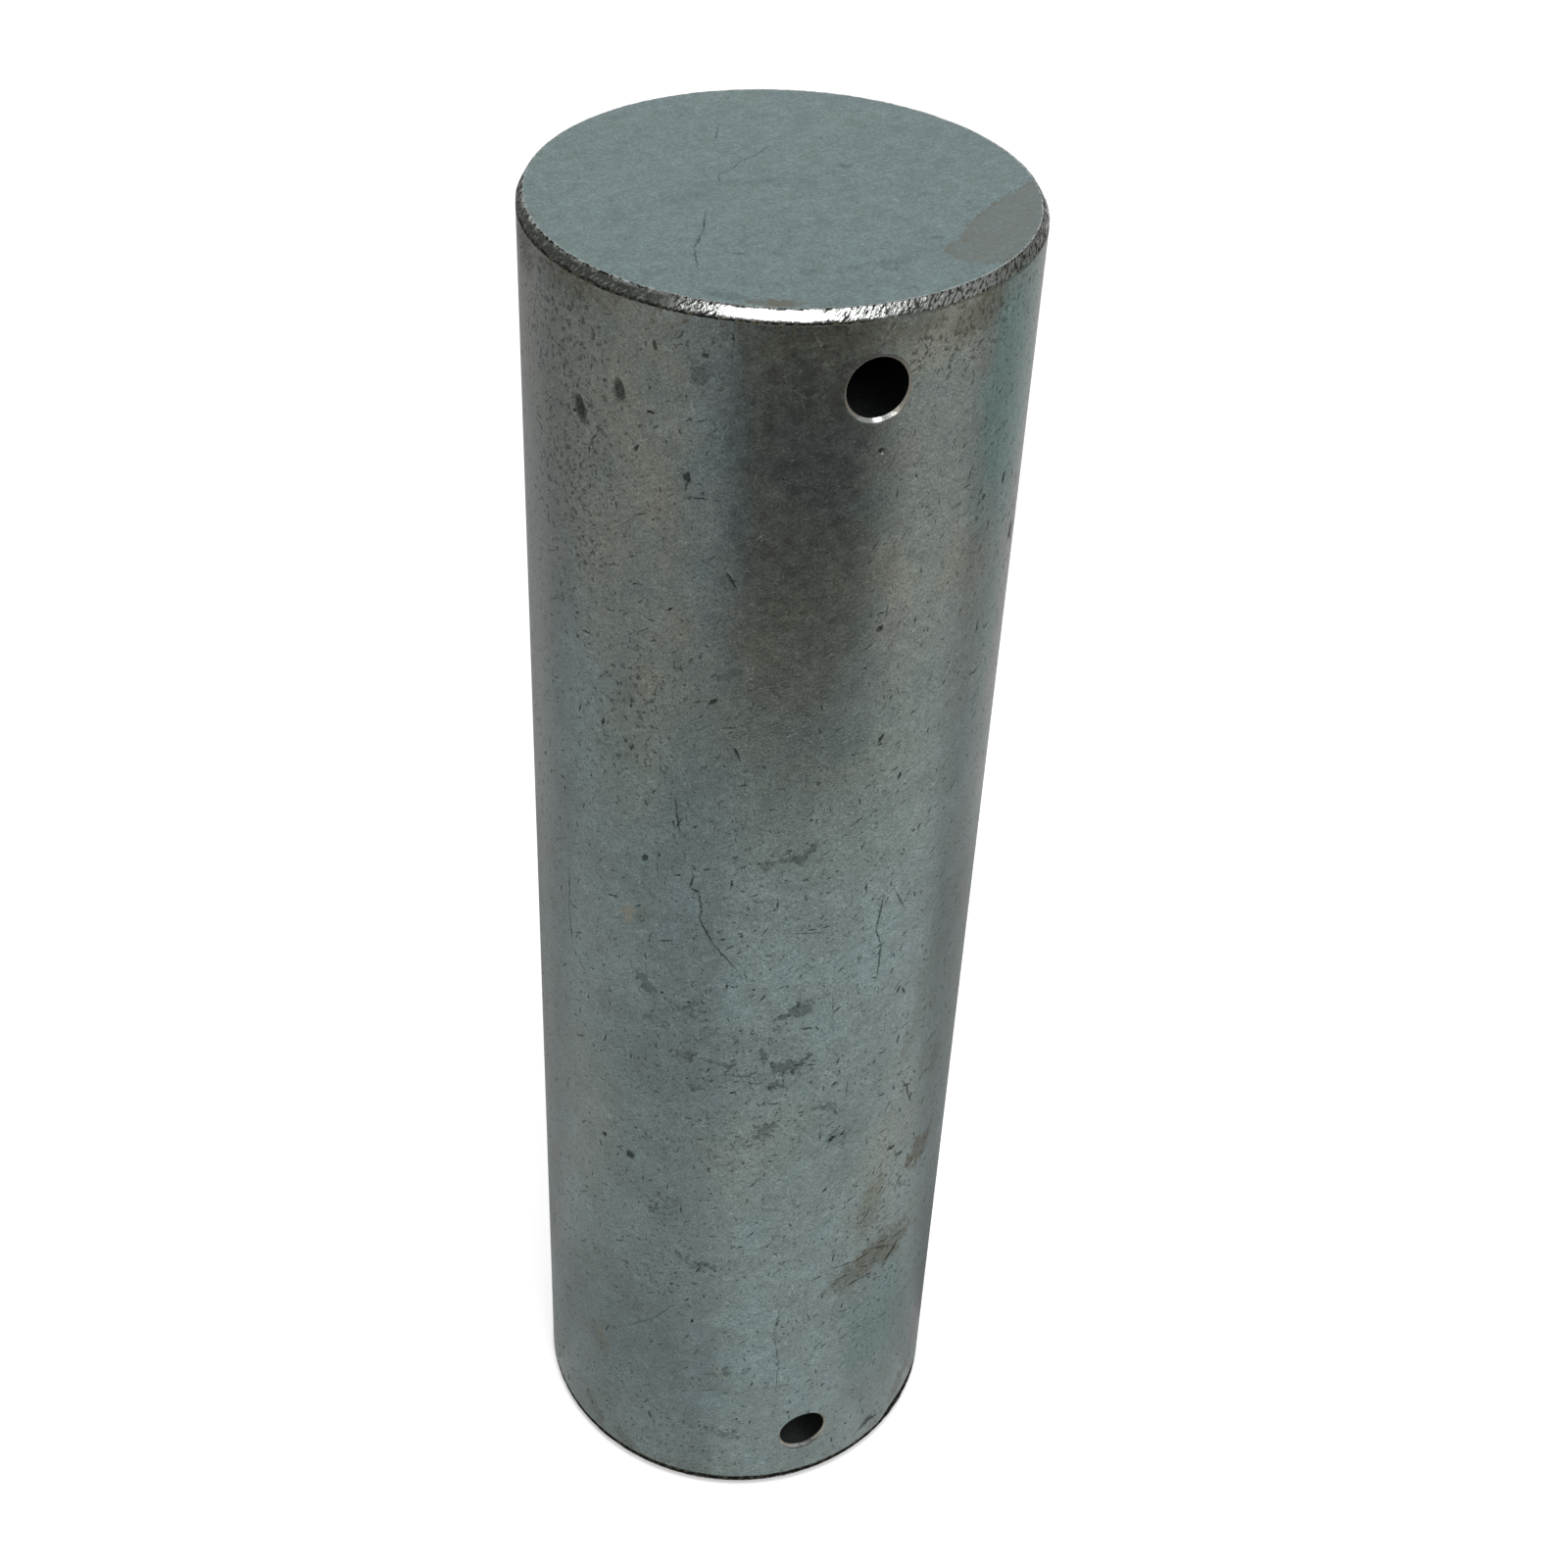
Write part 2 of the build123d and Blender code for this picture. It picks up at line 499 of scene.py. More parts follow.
def mouth(pin, block, height):
    """The side around one mouth of a cross hole. Returns the mouth's ring and its angles."""
    middle = (block.left + block.right) / 2 * ARC
    places, previous = pin.border(block)
    angles = even_angles(places, (middle, height), 0.5)
    for share in MOUTH_RINGS:
        current = []
        for (s, z), angle in zip(places, angles):
            reach = mouth_reach(angle)
            mouth_s = RADIUS * math.asin(reach * math.cos(angle) / RADIUS)
            mouth_z = reach * math.sin(angle)
            around = middle + (1 - share) * (s - middle) + share * mouth_s
            current.append(pin.on_side(around, height + (1 - share) * (z - height) + share * mouth_z))
        pin.bridge(previous, current)
        previous = current
    return previous, angles


def bore_stations(rng):
    """Where the bore's rings lie along it and how deep each cuts, as drill marks near both mouths."""
    end = RADIUS - MOUTH_CHAMFER
    marked = 6.5
    spacing = 0.32
    deepest = 0.03
    stations = []
    place = 0.0
    while place < marked:
        stations.append((end - place, rng.uniform(0.0, deepest)))
        place += spacing * rng.uniform(0.7, 1.4)
    stations[0] = (end, 0.0)
    plain_rings = 3
    inner = end - marked - 1.5
    stations += [(inner * (1 - k / plain_rings), 0.0) for k in range(plain_rings)]
    return [(-y, cut) for y, cut in stations] + [(0.0, 0.0)] + stations[::-1]


def cross_hole(pin, blocks, height, rng):
    """A through bore along Y with a cone at each mouth, and the side around both mouths."""
    front, angles = mouth(pin, blocks[0], height)
    back, _ = mouth(pin, blocks[1], height)
    count = len(front)
    back = [back[(HOLE_COLUMNS - k) % count] for k in range(count)]
    rings = [front]
    for y, cut in bore_stations(rng):
        reach = BORE_RADIUS - cut
        rings.append([pin.vertex(reach * math.cos(a), y, height + reach * math.sin(a)) for a in angles])
    rings.append(back)
    last = len(rings) - 2
    for k, (previous, current) in enumerate(zip(rings, rings[1:])):
        first = len(pin.faces)
        pin.bridge(previous, current)
        pin.zone("rim" if k in (0, last) else "bore", first)
    for ring in (rings[0], rings[1], rings[-2], rings[-1]):
        pin.sharp |= {frozenset((ring[k], ring[(k + 1) % count])) for k in range(count)}


def pit_block(place, long, wide, turn):
    """The block of cells that holds a pit, with some room round it."""
    room = 0.5
    lean = math.radians(turn)
    half_s = math.hypot(long * math.cos(lean), wide * math.sin(lean)) + room
    half_z = math.hypot(long * math.sin(lean), wide * math.cos(lean)) + room
    left = math.floor((place[0] - half_s) / ARC)
    right = math.ceil((place[0] + half_s) / ARC)
    low = math.floor((place[1] - half_z - FIRST_ROW) / ROW)
    high = math.ceil((place[1] + half_z - FIRST_ROW) / ROW)
    return Block(left, right, low, high)


# how ragged a pit's rim is, and where in the noise its outline is taken
PIT_RAG = 0.22
RAG_REACH = 1.7
RAG_LEVEL = 3.1
# a pit's floor, from its rim inwards: (share of its reach, share of its depth, how dark)
PIT_SHAPE = ((1.3, 0.0, 0.0), (1.02, 0.03, 0.1), (0.84, 0.55, 0.75), (0.55, 0.92, 1.0), (0.25, 1.0, 1.0))


def pit(pin, block, place, long, wide, turn, depth):
    """A small dent in the side, ragged at its rim."""
    lean = math.radians(turn)
    places, previous = pin.border(block)
    angles = [math.atan2(z - place[1], s - place[0]) - lean for s, z in places]
    for share, sink, dark in PIT_SHAPE:
        current = []
        for angle in angles:
            rag_s = place[0] + RAG_REACH * math.cos(angle)
            rag_z = place[1] + RAG_REACH * math.sin(angle)
            rag = 1 + PIT_RAG * noise.noise((rag_s, rag_z, RAG_LEVEL))
            reach = share * rag / math.hypot(math.cos(angle) / long, math.sin(angle) / wide)
            s = place[0] + reach * math.cos(angle + lean)
            z = place[1] + reach * math.sin(angle + lean)
            current.append(pin.on_side(s, z, depth * sink))
            pin.pit[current[-1]] = dark
        pin.bridge(previous, current)
        previous = current
    middle = pin.on_side(place[0], place[1], depth)
    pin.pit[middle] = 1.0
    for k in range(len(previous)):
        pin.faces.append((previous[k], previous[(k + 1) % len(previous)], middle))


def pit_list(rng):
    """The photograph's pits, and others like them on the sides that it doesn't show."""
    pits = [(side_place(m.px, m.py), m.long, m.wide, m.turn, m.depth) for m in PITS]
    unseen_count = 46
    unseen_half = 95
    end_room = 6
    for _ in range(unseen_count):
        azimuth = CAMERA_AZIMUTH + 180 + rng.uniform(-unseen_half, unseen_half)
        around = RADIUS * math.radians((azimuth + 180) % 360 - 180)
        place = around, rng.uniform(end_room, LENGTH - end_room)
        long = rng.uniform(0.35, 1.1)
        wide = long * rng.uniform(0.25, 0.7)
        turn = rng.uniform(20, 130)
        pits.append((place, long, wide, turn, rng.uniform(0.06, 0.13)))
    return pits


def softened(before, corner, after, reach):
    """Three points that round off a corner of the profile."""
    before, corner, after = Vector(before), Vector(corner), Vector(after)
    first = corner + (before - corner).normalized() * reach
    last = corner + (after - corner).normalized() * reach
    return [tuple(first), tuple((first + last) / 4 + corner / 2), tuple(last)]


# the rings of one end, from the side inwards: how many belong to the side, and how many to the chamfer
SIDE_RINGS = 4
RIM_RINGS = 9
# the reaches of the face's inner rings, each with half as many vertices as the one before
FACE_RINGS = (22.4, 20.0, 16.0, 11.0, 6.0, 2.5)


def end_profile():
    """The rings over a chamfer, from the side to the face: reach from the axis, distance from the end."""
    low = RADIUS, CHAMFER_LENGTH
    high = FACE_REACH, 0.0
    profile = [(RADIUS, CHAMFER_LENGTH + d) for d in (0.75, 0.35, 0.12)]
    profile += softened((RADIUS, LENGTH), low, high, 0.05)
    profile += [tuple(Vector(low).lerp(Vector(high), t)) for t in (0.22, 0.42, 0.6, 0.78)]
    profile += softened(low, high, (0, 0), 0.07)
    profile += [(FACE_REACH - d, 0.0) for d in (0.17, 0.4, 0.8)]
    return profile


def pin_end(pin, side_ring, upper):
    """One end: the rings over its chamfer, then ever coarser rings to the middle of the face."""
    fine = 2 * COLUMNS
    rings = [side_ring]
    rings += [pin.ring(fine, reach, LENGTH - d if upper else d) for reach, d in end_profile()]
    edge_zone = [v for ring in rings[1:] for v in ring]
    count = COLUMNS
    for reach in FACE_RINGS:
        rings.append(pin.ring(count, reach, LENGTH if upper else 0.0))
        count //= 2
    for k, (outer, inner) in enumerate(zip(rings, rings[1:])):
        first = len(pin.faces)
        if upper:
            pin.bridge(outer, inner)
        else:
            pin.bridge(inner, outer)
        pin.zone("side" if k < SIDE_RINGS else "rim" if k < SIDE_RINGS + RIM_RINGS else "face", first)
    middle = pin.vertex(0, 0, LENGTH if upper else 0.0)
    first = len(pin.faces)
    last = rings[-1]
    for k, vertex in enumerate(last):
        following = last[(k + 1) % len(last)]
        pin.faces.append((vertex, following, middle) if upper else (following, vertex, middle))
    pin.zone("face", first)
    return edge_zone


# a chamfer's two edges: reach, distance from the end, and how far the way out of it leans, in radians
FACE_EDGE = (FACE_REACH, 0.0, math.radians(60))
SIDE_EDGE = (RADIUS, CHAMFER_LENGTH, math.radians(16))
FACE_EDGE_SHARE = 0.45
# how far round the dents lie in degrees from -Y, and how deep they are
EVEN_DENTS = 90
EVEN_TURNS = (0, 360)
EVEN_DEPTHS = (0.015, 0.06)
BATTERED_DENTS = 70
BATTERED_TURNS = (5, 70)
BATTERED_DEPTHS = (0.03, 0.11)
DENT_RADII = (0.25, 1.1)
# how much an edge is rubbed off at most, how much everything beside it is, and how far from it that ends
EDGE_WEAR = 0.024
EVEN_WEAR = 0.004
EDGE_WEAR_REACH = 0.4
WEAR_LIMIT = 1.5


def rubbed_off(x, y, z, face):
    """How much a point near a chamfer is rubbed off, in millimetres."""
    reach = math.hypot(x, y)
    from_end = abs(face - z)
    if reach < RADIUS - WEAR_LIMIT or from_end > WEAR_LIMIT:
        return 0.0
    to_side = math.hypot(reach - RADIUS, from_end - CHAMFER_LENGTH)
    to_face = math.hypot(reach - FACE_REACH, from_end)
    amount = EDGE_WEAR * math.exp(-(min(to_side, to_face) / EDGE_WEAR_REACH) ** 2) + EVEN_WEAR
    uneven = 0.5 + noise.noise((x * 0.9, y * 0.9, z * 1.4))
    return max(amount * (uneven + 0.7 * noise.noise((x * 2.6, y * 2.6, z * 3.0))), 0.0)


def dent_edges(points, zone, upper, rng):
    """Knocks small dents into both edges of a chamfer and roughens the chamfer between them."""
    zone = np.array(zone)
    around = points[zone]
    face = LENGTH if upper else 0.0
    inwards = -1.0 if upper else 1.0
    for k, (x, y, z) in enumerate(around):
        amount = rubbed_off(x, y, z, face)
        kept = 1 - amount / math.hypot(x, y)
        around[k] = (x * kept, y * kept, z + inwards * amount)
    for k in range(EVEN_DENTS + BATTERED_DENTS):
        battered = k >= EVEN_DENTS
        angle = math.radians(rng.uniform(*(BATTERED_TURNS if battered else EVEN_TURNS)))
        reach, height, lean = FACE_EDGE if rng.random() < FACE_EDGE_SHARE else SIDE_EDGE
        depth = rng.uniform(*(BATTERED_DEPTHS if battered else EVEN_DEPTHS))
        # each dent is where a ball cuts into the metal
        ball = rng.uniform(*DENT_RADII)
        out = ball - depth
        reach += out * math.cos(lean)
        height -= out * math.sin(lean)
        centre = np.array((reach * math.sin(angle), -reach * math.cos(angle), face + inwards * height))
        away = around - centre
        distance = np.linalg.norm(away, axis=1)
        near = distance < ball
        around[near] = centre + away[near] * (ball / distance[near])[:, None]
    # the dents never push a point past the true sizes
    too_far = np.maximum(np.hypot(around[:, 0], around[:, 1]) / RADIUS, 1.0)
    around[:, 0] /= too_far
    around[:, 1] /= too_far
    around[:, 2] = np.clip(around[:, 2], 0.0, LENGTH)
    points[zone] = around


def smoothstep(value, low, high):
    """Rises smoothly from 0 at low to 1 at high."""
    t = np.clip((value - low) / (high - low), 0.0, 1.0)
    return t * t * (3 - 2 * t)


def oval_field(places, tints, soft):
    """The strongest of the soft leaning ovals at each place of the unrolled side."""
    found = np.zeros(len(places))
    for m in tints:
        away = places - np.array(side_place(m.px, m.py))
        lean = math.radians(m.turn)
        along = (away[:, 0] * math.cos(lean) + away[:, 1] * math.sin(lean)) / m.long
        across = (away[:, 1] * math.cos(lean) - away[:, 0] * math.sin(lean)) / m.wide
        share = 1.0 - smoothstep(np.hypot(along, across), 1 - soft, 1 + soft)
        found = np.maximum(found, m.depth * share)
    return found


def blended(colour, other, share):
    """Each colour mixed with one other by its own share."""
    return colour + (np.array(other) - colour) * share[:, None]


# noise vectors follow the time of day unless they are seeded
NOISE_SEED = 5


def tones(points):
    """Each vertex's broad colour, with how worn the plating is there as the fourth value."""
    places = np.stack([RADIUS * np.arctan2(points[:, 0], -points[:, 1]), points[:, 2]], 1)
    noise.seed_set(NOISE_SEED)
    spread = np.array([tuple(noise.noise_vector(Vector(p) * 0.25))[:2] for p in points])
    patchy = np.array([noise.fractal(Vector(p) * 0.22, 1.0, 2.0, 4) for p in points])
    broad = np.array([noise.fractal(Vector(p) * 0.06, 1.0, 2.0, 3) for p in points])
    loose = places + 2.6 * spread
    # browner towards the upper end, partly a painted reflection of a warm floor
    brown = smoothstep(places[:, 1], 90.0, 140.0) * (0.6 + 0.5 * smoothstep(broad, -0.3, 0.3))
    brown = np.maximum(brown, oval_field(loose, BROWN_TINTS, 0.6))
    brown = brown * (0.6 + 0.4 * smoothstep(patchy, -0.4, 0.2))
    colour = np.tile(np.array(GREY_TEAL), (len(points), 1))
    colour = blended(colour, GREY_BLUE, 0.6 * smoothstep(patchy, -0.2, 0.4))
    colour = blended(colour, GREY_BROWN, np.clip(brown, 0.0, 1.0))
    colour = blended(colour, GREY_BLUE, oval_field(loose, BLUE_TINTS, 0.6))
    colour = blended(colour, TEAL, oval_field(loose, TEAL_TINTS, 0.55))
    colour = blended(colour, PURPLE, oval_field(loose, PURPLE_TINTS, 0.6))
    colour *= (1 + 0.13 * patchy + 0.08 * broad)[:, None]
    # greener towards the foot
    colour *= 1 - smoothstep(places[:, 1], 145.0, 105.0)[:, None] * np.array((0.04, 0.0, 0.012))
    worn = np.maximum(oval_field(loose, WORN, 0.5), 0.3 * smoothstep(broad, -0.1, 0.4))
    return np.column_stack([colour, worn])


def new_object(name, data):
    """An object of this data, in the scene."""
    found = bpy.data.objects.new(name, data)
    bpy.context.scene.collection.objects.link(found)
    return found


DRAW_SEED = 7


def make_pin():
    """The whole pin as one closed mesh."""
    rng = random.Random(DRAW_SEED)
    pin = PinMesh()
    half_turn = COLUMNS // 2
    hole_blocks = [(hole_block(0, h), hole_block(half_turn, h)) for h in HOLE_HEIGHTS]
    for blocks in hole_blocks:
        for block in blocks:
            pin.reserve(block)
    pits = []
    for place, long, wide, turn, depth in pit_list(rng):
        block = pit_block(place, long, wide, turn)
        if pin.reserve(block):
            pits.append((block, place, long, wide, turn, depth))
    pin.fill_grid()
    for blocks, height in zip(hole_blocks, HOLE_HEIGHTS):
        cross_hole(pin, blocks, height, rng)
    for found in pits:
        pit(pin, *found)
    bottom = pin_end(pin, [pin.grid[i, 0] for i in range(COLUMNS)], upper=False)
    top = pin_end(pin, [pin.grid[i, ROWS] for i in range(COLUMNS)], upper=True)
    points = np.array(pin.points)
    dent_edges(points, top, True, rng)
    dent_edges(points, bottom, False, rng)

    mesh = bpy.data.meshes.new("pin_body")
    mesh.from_pydata((points * MM).tolist(), [], pin.faces)
    mesh.polygons.foreach_set("use_smooth", [True] * len(mesh.polygons))
    for edge in mesh.edges:
        if frozenset(edge.vertices) in pin.sharp:
            edge.use_edge_sharp = True
    values = [0.0] * len(points)
    for index, dark in pin.pit.items():
        values[index] = dark
    mesh.attributes.new("pit", "FLOAT", "POINT").data.foreach_set("value", values)
    mesh.attributes.new("tone", "FLOAT_COLOR", "POINT").data.foreach_set("color", tones(points).ravel())
    zone_of = np.zeros(len(pin.faces), dtype=np.int32)
    for zone, first, end in pin.zones:
        zone_of[first:end] = zone
    mesh.polygons.foreach_set("material_index", zone_of)
    mesh.update()
    print("pin triangles", sum(len(p.vertices) - 2 for p in mesh.polygons), "pits", len(pits))
    return new_object("pin_body", mesh)


class Tree:
    """Short calls to build a node tree. What goes into a node is a socket or a plain value."""

    def __init__(self, tree):
        self.tree = tree
        tree.nodes.clear()

    def put(self, socket, value):
        if isinstance(value, bpy.types.NodeSocket):
            self.tree.links.new(value, socket)
        elif value is not None:
            socket.default_value = value

    def add(self, kind, inputs=None, **settings):
        """A node with these settings, and with its inputs by name or number."""
        node = self.tree.nodes.new(kind)
        for name, value in settings.items():
            setattr(node, name, value)
        for name, value in (inputs or {}).items():
            self.put(node.inputs[name], value)
        return node

    def math(self, operation, *values):
        return self.add("ShaderNodeMath", dict(enumerate(values)), operation=operation).outputs[0]

    def plus(self, a, b):
        return self.math("ADD", a, b)

    def minus(self, a, b):
        return self.math("SUBTRACT", a, b)

    def one_minus(self, a):
        return self.math("SUBTRACT", 1.0, a)

    def multiply_add(self, a, b, c):
        return self.math("MULTIPLY_ADD", a, b, c)

    def quotient(self, a, b):
        return self.math("DIVIDE", a, b)

    def above(self, a, b):
        return self.math("GREATER_THAN", a, b)

    def below(self, a, b):
        return self.math("LESS_THAN", a, b)

    def product(self, *values):
        return reduce(lambda a, b: self.math("MULTIPLY", a, b), values)

    def largest(self, *values):
        return reduce(lambda a, b: self.math("MAXIMUM", a, b), values)

    def vector(self, operation, a, b=None, scale=None):
        node = self.add("ShaderNodeVectorMath", {0: a, 1: b}, operation=operation)
        if scale is not None:
            self.put(node.inputs["Scale"], scale)
        return node.outputs["Value"] if operation == "LENGTH" else node.outputs[0]

    def parts(self, vector):
        """The vector's x, y and z."""
        return self.add("ShaderNodeSeparateXYZ", {0: vector}).outputs

    def rotate(self, vector, angle):
        """Turns a vector about Z by minus the angle."""
        inputs = {"Vector": vector, "Angle": angle}
        return self.add("ShaderNodeVectorRotate", inputs, rotation_type="Z_AXIS", invert=True).outputs[0]

    def remap(self, value, low, high, to_low=0.0, to_high=1.0, smooth=True):
        inputs = {"Value": value, "From Min": low, "From Max": high, "To Min": to_low, "To Max": to_high}
        kind = "SMOOTHSTEP" if smooth else "LINEAR"
        return self.add("ShaderNodeMapRange", inputs, interpolation_type=kind, clamp=True).outputs[0]

    def noise(self, vector, scale, detail, roughness, colour=False):
        inputs = {"Vector": vector, "Scale": scale, "Detail": detail, "Roughness": roughness}
        node = self.add("ShaderNodeTexNoise", inputs, noise_dimensions="3D")
        return node.outputs["Color" if colour else "Fac"]

    def mix(self, share, a, b):
        """A colour between a and b."""
        inputs = {0: share, 6: opaque(a), 7: opaque(b)}
        return self.add("ShaderNodeMix", inputs, data_type="RGBA").outputs[2]

    def darken(self, colour, by):
        """The colour times a number."""
        return self.vector("SCALE", colour, scale=by)


def opaque(colour):
    """A plain colour with its alpha, or a socket as it is."""
    return (*colour, 1.0) if isinstance(colour, tuple) else colour


def spot_group():
    """A group that is 1 inside a leaning oval and 0 outside it, with a soft edge."""
    group = bpy.data.node_groups.new("oval_spot", "ShaderNodeTree")
    for kind, names in (("Vector", ("Place", "Centre", "Size")), ("Float", ("Turn", "Inner", "Outer"))):
        for name in names:
            group.interface.new_socket(name, in_out="INPUT", socket_type="NodeSocket" + kind)
    group.interface.new_socket("Share", in_out="OUTPUT", socket_type="NodeSocketFloat")
    t = Tree(group)
    given = t.add("NodeGroupInput").outputs
    away = t.vector("SUBTRACT", given["Place"], given["Centre"])
    turned_away = t.rotate(away, given["Turn"])
    far = t.vector("LENGTH", t.vector("DIVIDE", turned_away, given["Size"]))
    t.add("NodeGroupOutput", {"Share": t.remap(far, given["Outer"], given["Inner"])})
    return group


SPOT = spot_group()


def spot(t, place, centre, long, wide, turn, soft, strength=1.0):
    """The share of an oval spot at a place, both in the same millimetres."""
    inputs = {
        "Place": place, "Centre": (*centre, 0.0), "Size": (long, wide, 1.0), "Turn": math.radians(turn),
        "Inner": 1.0 - soft, "Outer": 1.0 + soft,
    }
    return t.product(t.add("ShaderNodeGroup", inputs, node_tree=SPOT).outputs[0], strength)


def spots(t, place, found, to_place, soft, lean=0.0):
    """The strongest of the marks' ovals; their turn is counted from this lean, in degrees."""
    ovals = []
    for m in found:
        centre = to_place(m.px, m.py)
        ovals.append(spot(t, place, centre, m.long, m.wide, m.turn + lean, soft, m.depth))
    return t.largest(*ovals)


def side_spots(t, place, found, soft):
    return spots(t, place, found, side_place, soft)


def top_spots(t, place, found, soft):
    """Ovals on the upper face; there a mark's turn is from the photograph's right."""
    return spots(t, place, found, top_place, soft, CAMERA_AZIMUTH)


def lines(t, place, cracks, to_place):
    """Thin lines through pixels, each stretch a long thin oval."""
    found = []
    for _, pixels, half_width in cracks:
        places = [to_place(*p) for p in pixels]
        for (s0, z0), (s1, z1) in zip(places, places[1:]):
            half = math.hypot(s1 - s0, z1 - z0) / 2 + half_width
            turn = math.degrees(math.atan2(z1 - z0, s1 - s0))
            middle = (s0 + s1) / 2, (z0 + z1) / 2
            found.append(spot(t, place, middle, half, half_width, turn, 0.5))
    return t.largest(*found)


def strokes(t, place, cell, long, wide, share, lean, spread, soft=0.4):
    """Short scratches scattered one to a cell: some cells have none, and each leans its own way."""
    inputs = {"Vector": place, "Scale": 1 / cell, "Randomness": 0.9}
    voronoi = t.add("ShaderNodeTexVoronoi", inputs, voronoi_dimensions="2D", feature="F1").outputs
    for_turn, for_share, for_size = t.add("ShaderNodeSeparateColor", {0: voronoi["Color"]}).outputs
    away = t.vector("SUBTRACT", place, voronoi["Position"])
    turn = t.multiply_add(for_turn, math.radians(spread), math.radians(lean - spread / 2))
    oval = t.vector("DIVIDE", t.rotate(away, turn), (long, wide, 1.0))
    far = t.quotient(t.vector("LENGTH", oval), t.multiply_add(for_size, 0.7, 0.3))
    inside = t.remap(far, 1 + soft, 1 - soft)
    return t.product(inside, t.below(for_share, share), t.multiply_add(for_size, 0.75, 0.25))


# linear colours of the films, the end faces, the chamfers, the holes and bare metal
STAIN_BROWN = (0.082, 0.077, 0.054)
TOP_GREY = (0.198, 0.266, 0.264)
TOP_BLUE = (0.187, 0.25, 0.259)
TOP_STAIN = (0.168, 0.168, 0.142)
RIM_GREY = (0.3, 0.31, 0.3)
# black of the dirt, also used for the painted shade along the foot
RIM_DIRT_AND_SHADE = (0.006, 0.0062, 0.0055)
YELLOW_FILM = (0.2, 0.185, 0.13)
RIM_BROWN = (0.15, 0.158, 0.142)
RIM_FLECK = (0.24, 0.26, 0.245)
MOUTH_GREY = (0.22, 0.21, 0.18)
MOUTH_DIRT = (0.045, 0.048, 0.044)
# the bore's steel, darkened as painted shade inside the holes
BORE_GREY_AND_SHADE = (0.07, 0.076, 0.075)
BRIGHT = (0.36, 0.4, 0.395)
# light metal of rubbed edges, also the colour of the painted highlight along the chamfers' edge to the
# face at the left
RUBBED_EDGE_AND_HIGHLIGHT = (0.55, 0.58, 0.56)
# what a noise's three parts are about, and what takes the height off a place
NOISE_MIDDLE = (0.5, 0.5, 0.5)
FLAT = (1.0, 1.0, 0.0)


def new_material(name):
    """A material and its empty node tree."""
    material = bpy.data.materials.new(name)
    material.use_nodes = True
    return material, Tree(material.node_tree)


def new_surface(name):
    """A material, its node tree and the place of a point in millimetres."""
    material, t = new_material(name)
    return material, t, t.vector("SCALE", t.add("ShaderNodeTexCoord").outputs["Object"], scale=1 / MM)


def finish_surface(t, colour, gloss, relief, metallic=1.0):
    """Metal of this colour and roughness, with relief in millimetres."""
    bump = t.add("ShaderNodeBump", {"Strength": 1.0, "Distance": MM, "Height": relief})
    shader = t.add("ShaderNodeBsdfPrincipled", {
        "Specular IOR Level": 0.0, "Metallic": metallic, "Base Color": colour, "Roughness": gloss,
        "Normal": bump.outputs[0],
    })
    t.add("ShaderNodeOutputMaterial", {"Surface": shader.outputs[0]})


def polar_parts(t, place):
    """Reach, azimuth in degrees, place on the unrolled side, height and distance from the nearer end."""
    x, y, z = t.parts(place)
    reach = t.math("SQRT", t.plus(t.product(x, x), t.product(y, y)))
    around = t.product(t.math("ARCTAN2", x, t.product(y, -1.0)), RADIUS)
    flat = t.add("ShaderNodeCombineXYZ", {0: around, 1: z}).outputs[0]
    azimuth = t.quotient(t.parts(flat)[0], RADIUS * math.radians(1))
    return reach, azimuth, flat, z, t.math("MINIMUM", t.minus(LENGTH, z), z)


def shaker(t, place, scale, detail, roughness):
    """A noise about zero, with three parts."""
    return t.vector("SUBTRACT", t.noise(place, scale, detail, roughness, colour=True), NOISE_MIDDLE)


def shaken(t, place, ragged, amount):
    """A place moved about by a noise, so that what is drawn there gets a ragged outline."""
    return t.vector("ADD", place, t.vector("SCALE", ragged, scale=amount))


def flattened(t, place):
    """A place without its height."""
    return t.vector("MULTIPLY", place, FLAT)


def brushed(t, unrolled_side, lean, along, across):
    """Noise drawn out along a leaning direction."""
    stretched = t.vector("MULTIPLY", t.rotate(unrolled_side, math.radians(lean)), (along, across, 1.0))
    return t.noise(stretched, 1.0, 3.0, 0.62)


def speckled(t, amount, value):
    """A factor about 1 that follows a noise about one half."""
    return t.multiply_add(value, amount, 1 - amount / 2)


# the side's noises: from broad to fine, one that shifts places, and two along slanting scratches
SideNoises = namedtuple("SideNoises", "cloudy flaky grain fine ragged streak streak_back")


def side_noises(t, place, unrolled_side):
    return SideNoises(
        cloudy=t.noise(place, 0.7, 3.0, 0.65),
        flaky=t.noise(place, 1.6, 4.0, 0.62),
        grain=t.noise(place, 3.4, 2.0, 0.65),
        fine=t.noise(place, 5.5, 1.0, 0.6),
        ragged=shaker(t, place, 1.9, 3.0, 0.75),
        streak=brushed(t, unrolled_side, 32, 0.5, 4.0),
        streak_back=brushed(t, unrolled_side, -28, 0.6, 5.0),
    )


def side_films(t, n, rough_side, colour):
    """The colour under stains, yellow films and scuffs, and where they make it dull."""
    stain = t.product(side_spots(t, rough_side, STAINS, 0.3), t.remap(n.streak, 0.42, 0.54, 0.25, 1.0))
    colour = t.mix(t.product(stain, 0.9), colour, STAIN_BROWN)
    film = t.product(side_spots(t, rough_side, YELLOW_FILMS, 0.3), t.remap(n.grain, 0.44, 0.56, 0.1, 1.0))
    colour = t.mix(film, colour, YELLOW_FILM)
    # a scuff covers its oval but for the plating's high places
    scuff = t.remap(t.multiply_add(n.flaky, 2.2, side_spots(t, rough_side, SCUFFS, 0.6)), 1.5, 1.72)
    scuff_tone = t.product(scuff, t.remap(n.grain, 0.4, 0.62, 0.2, 0.42))
    return t.darken(colour, t.one_minus(scuff_tone)), t.largest(stain, scuff)


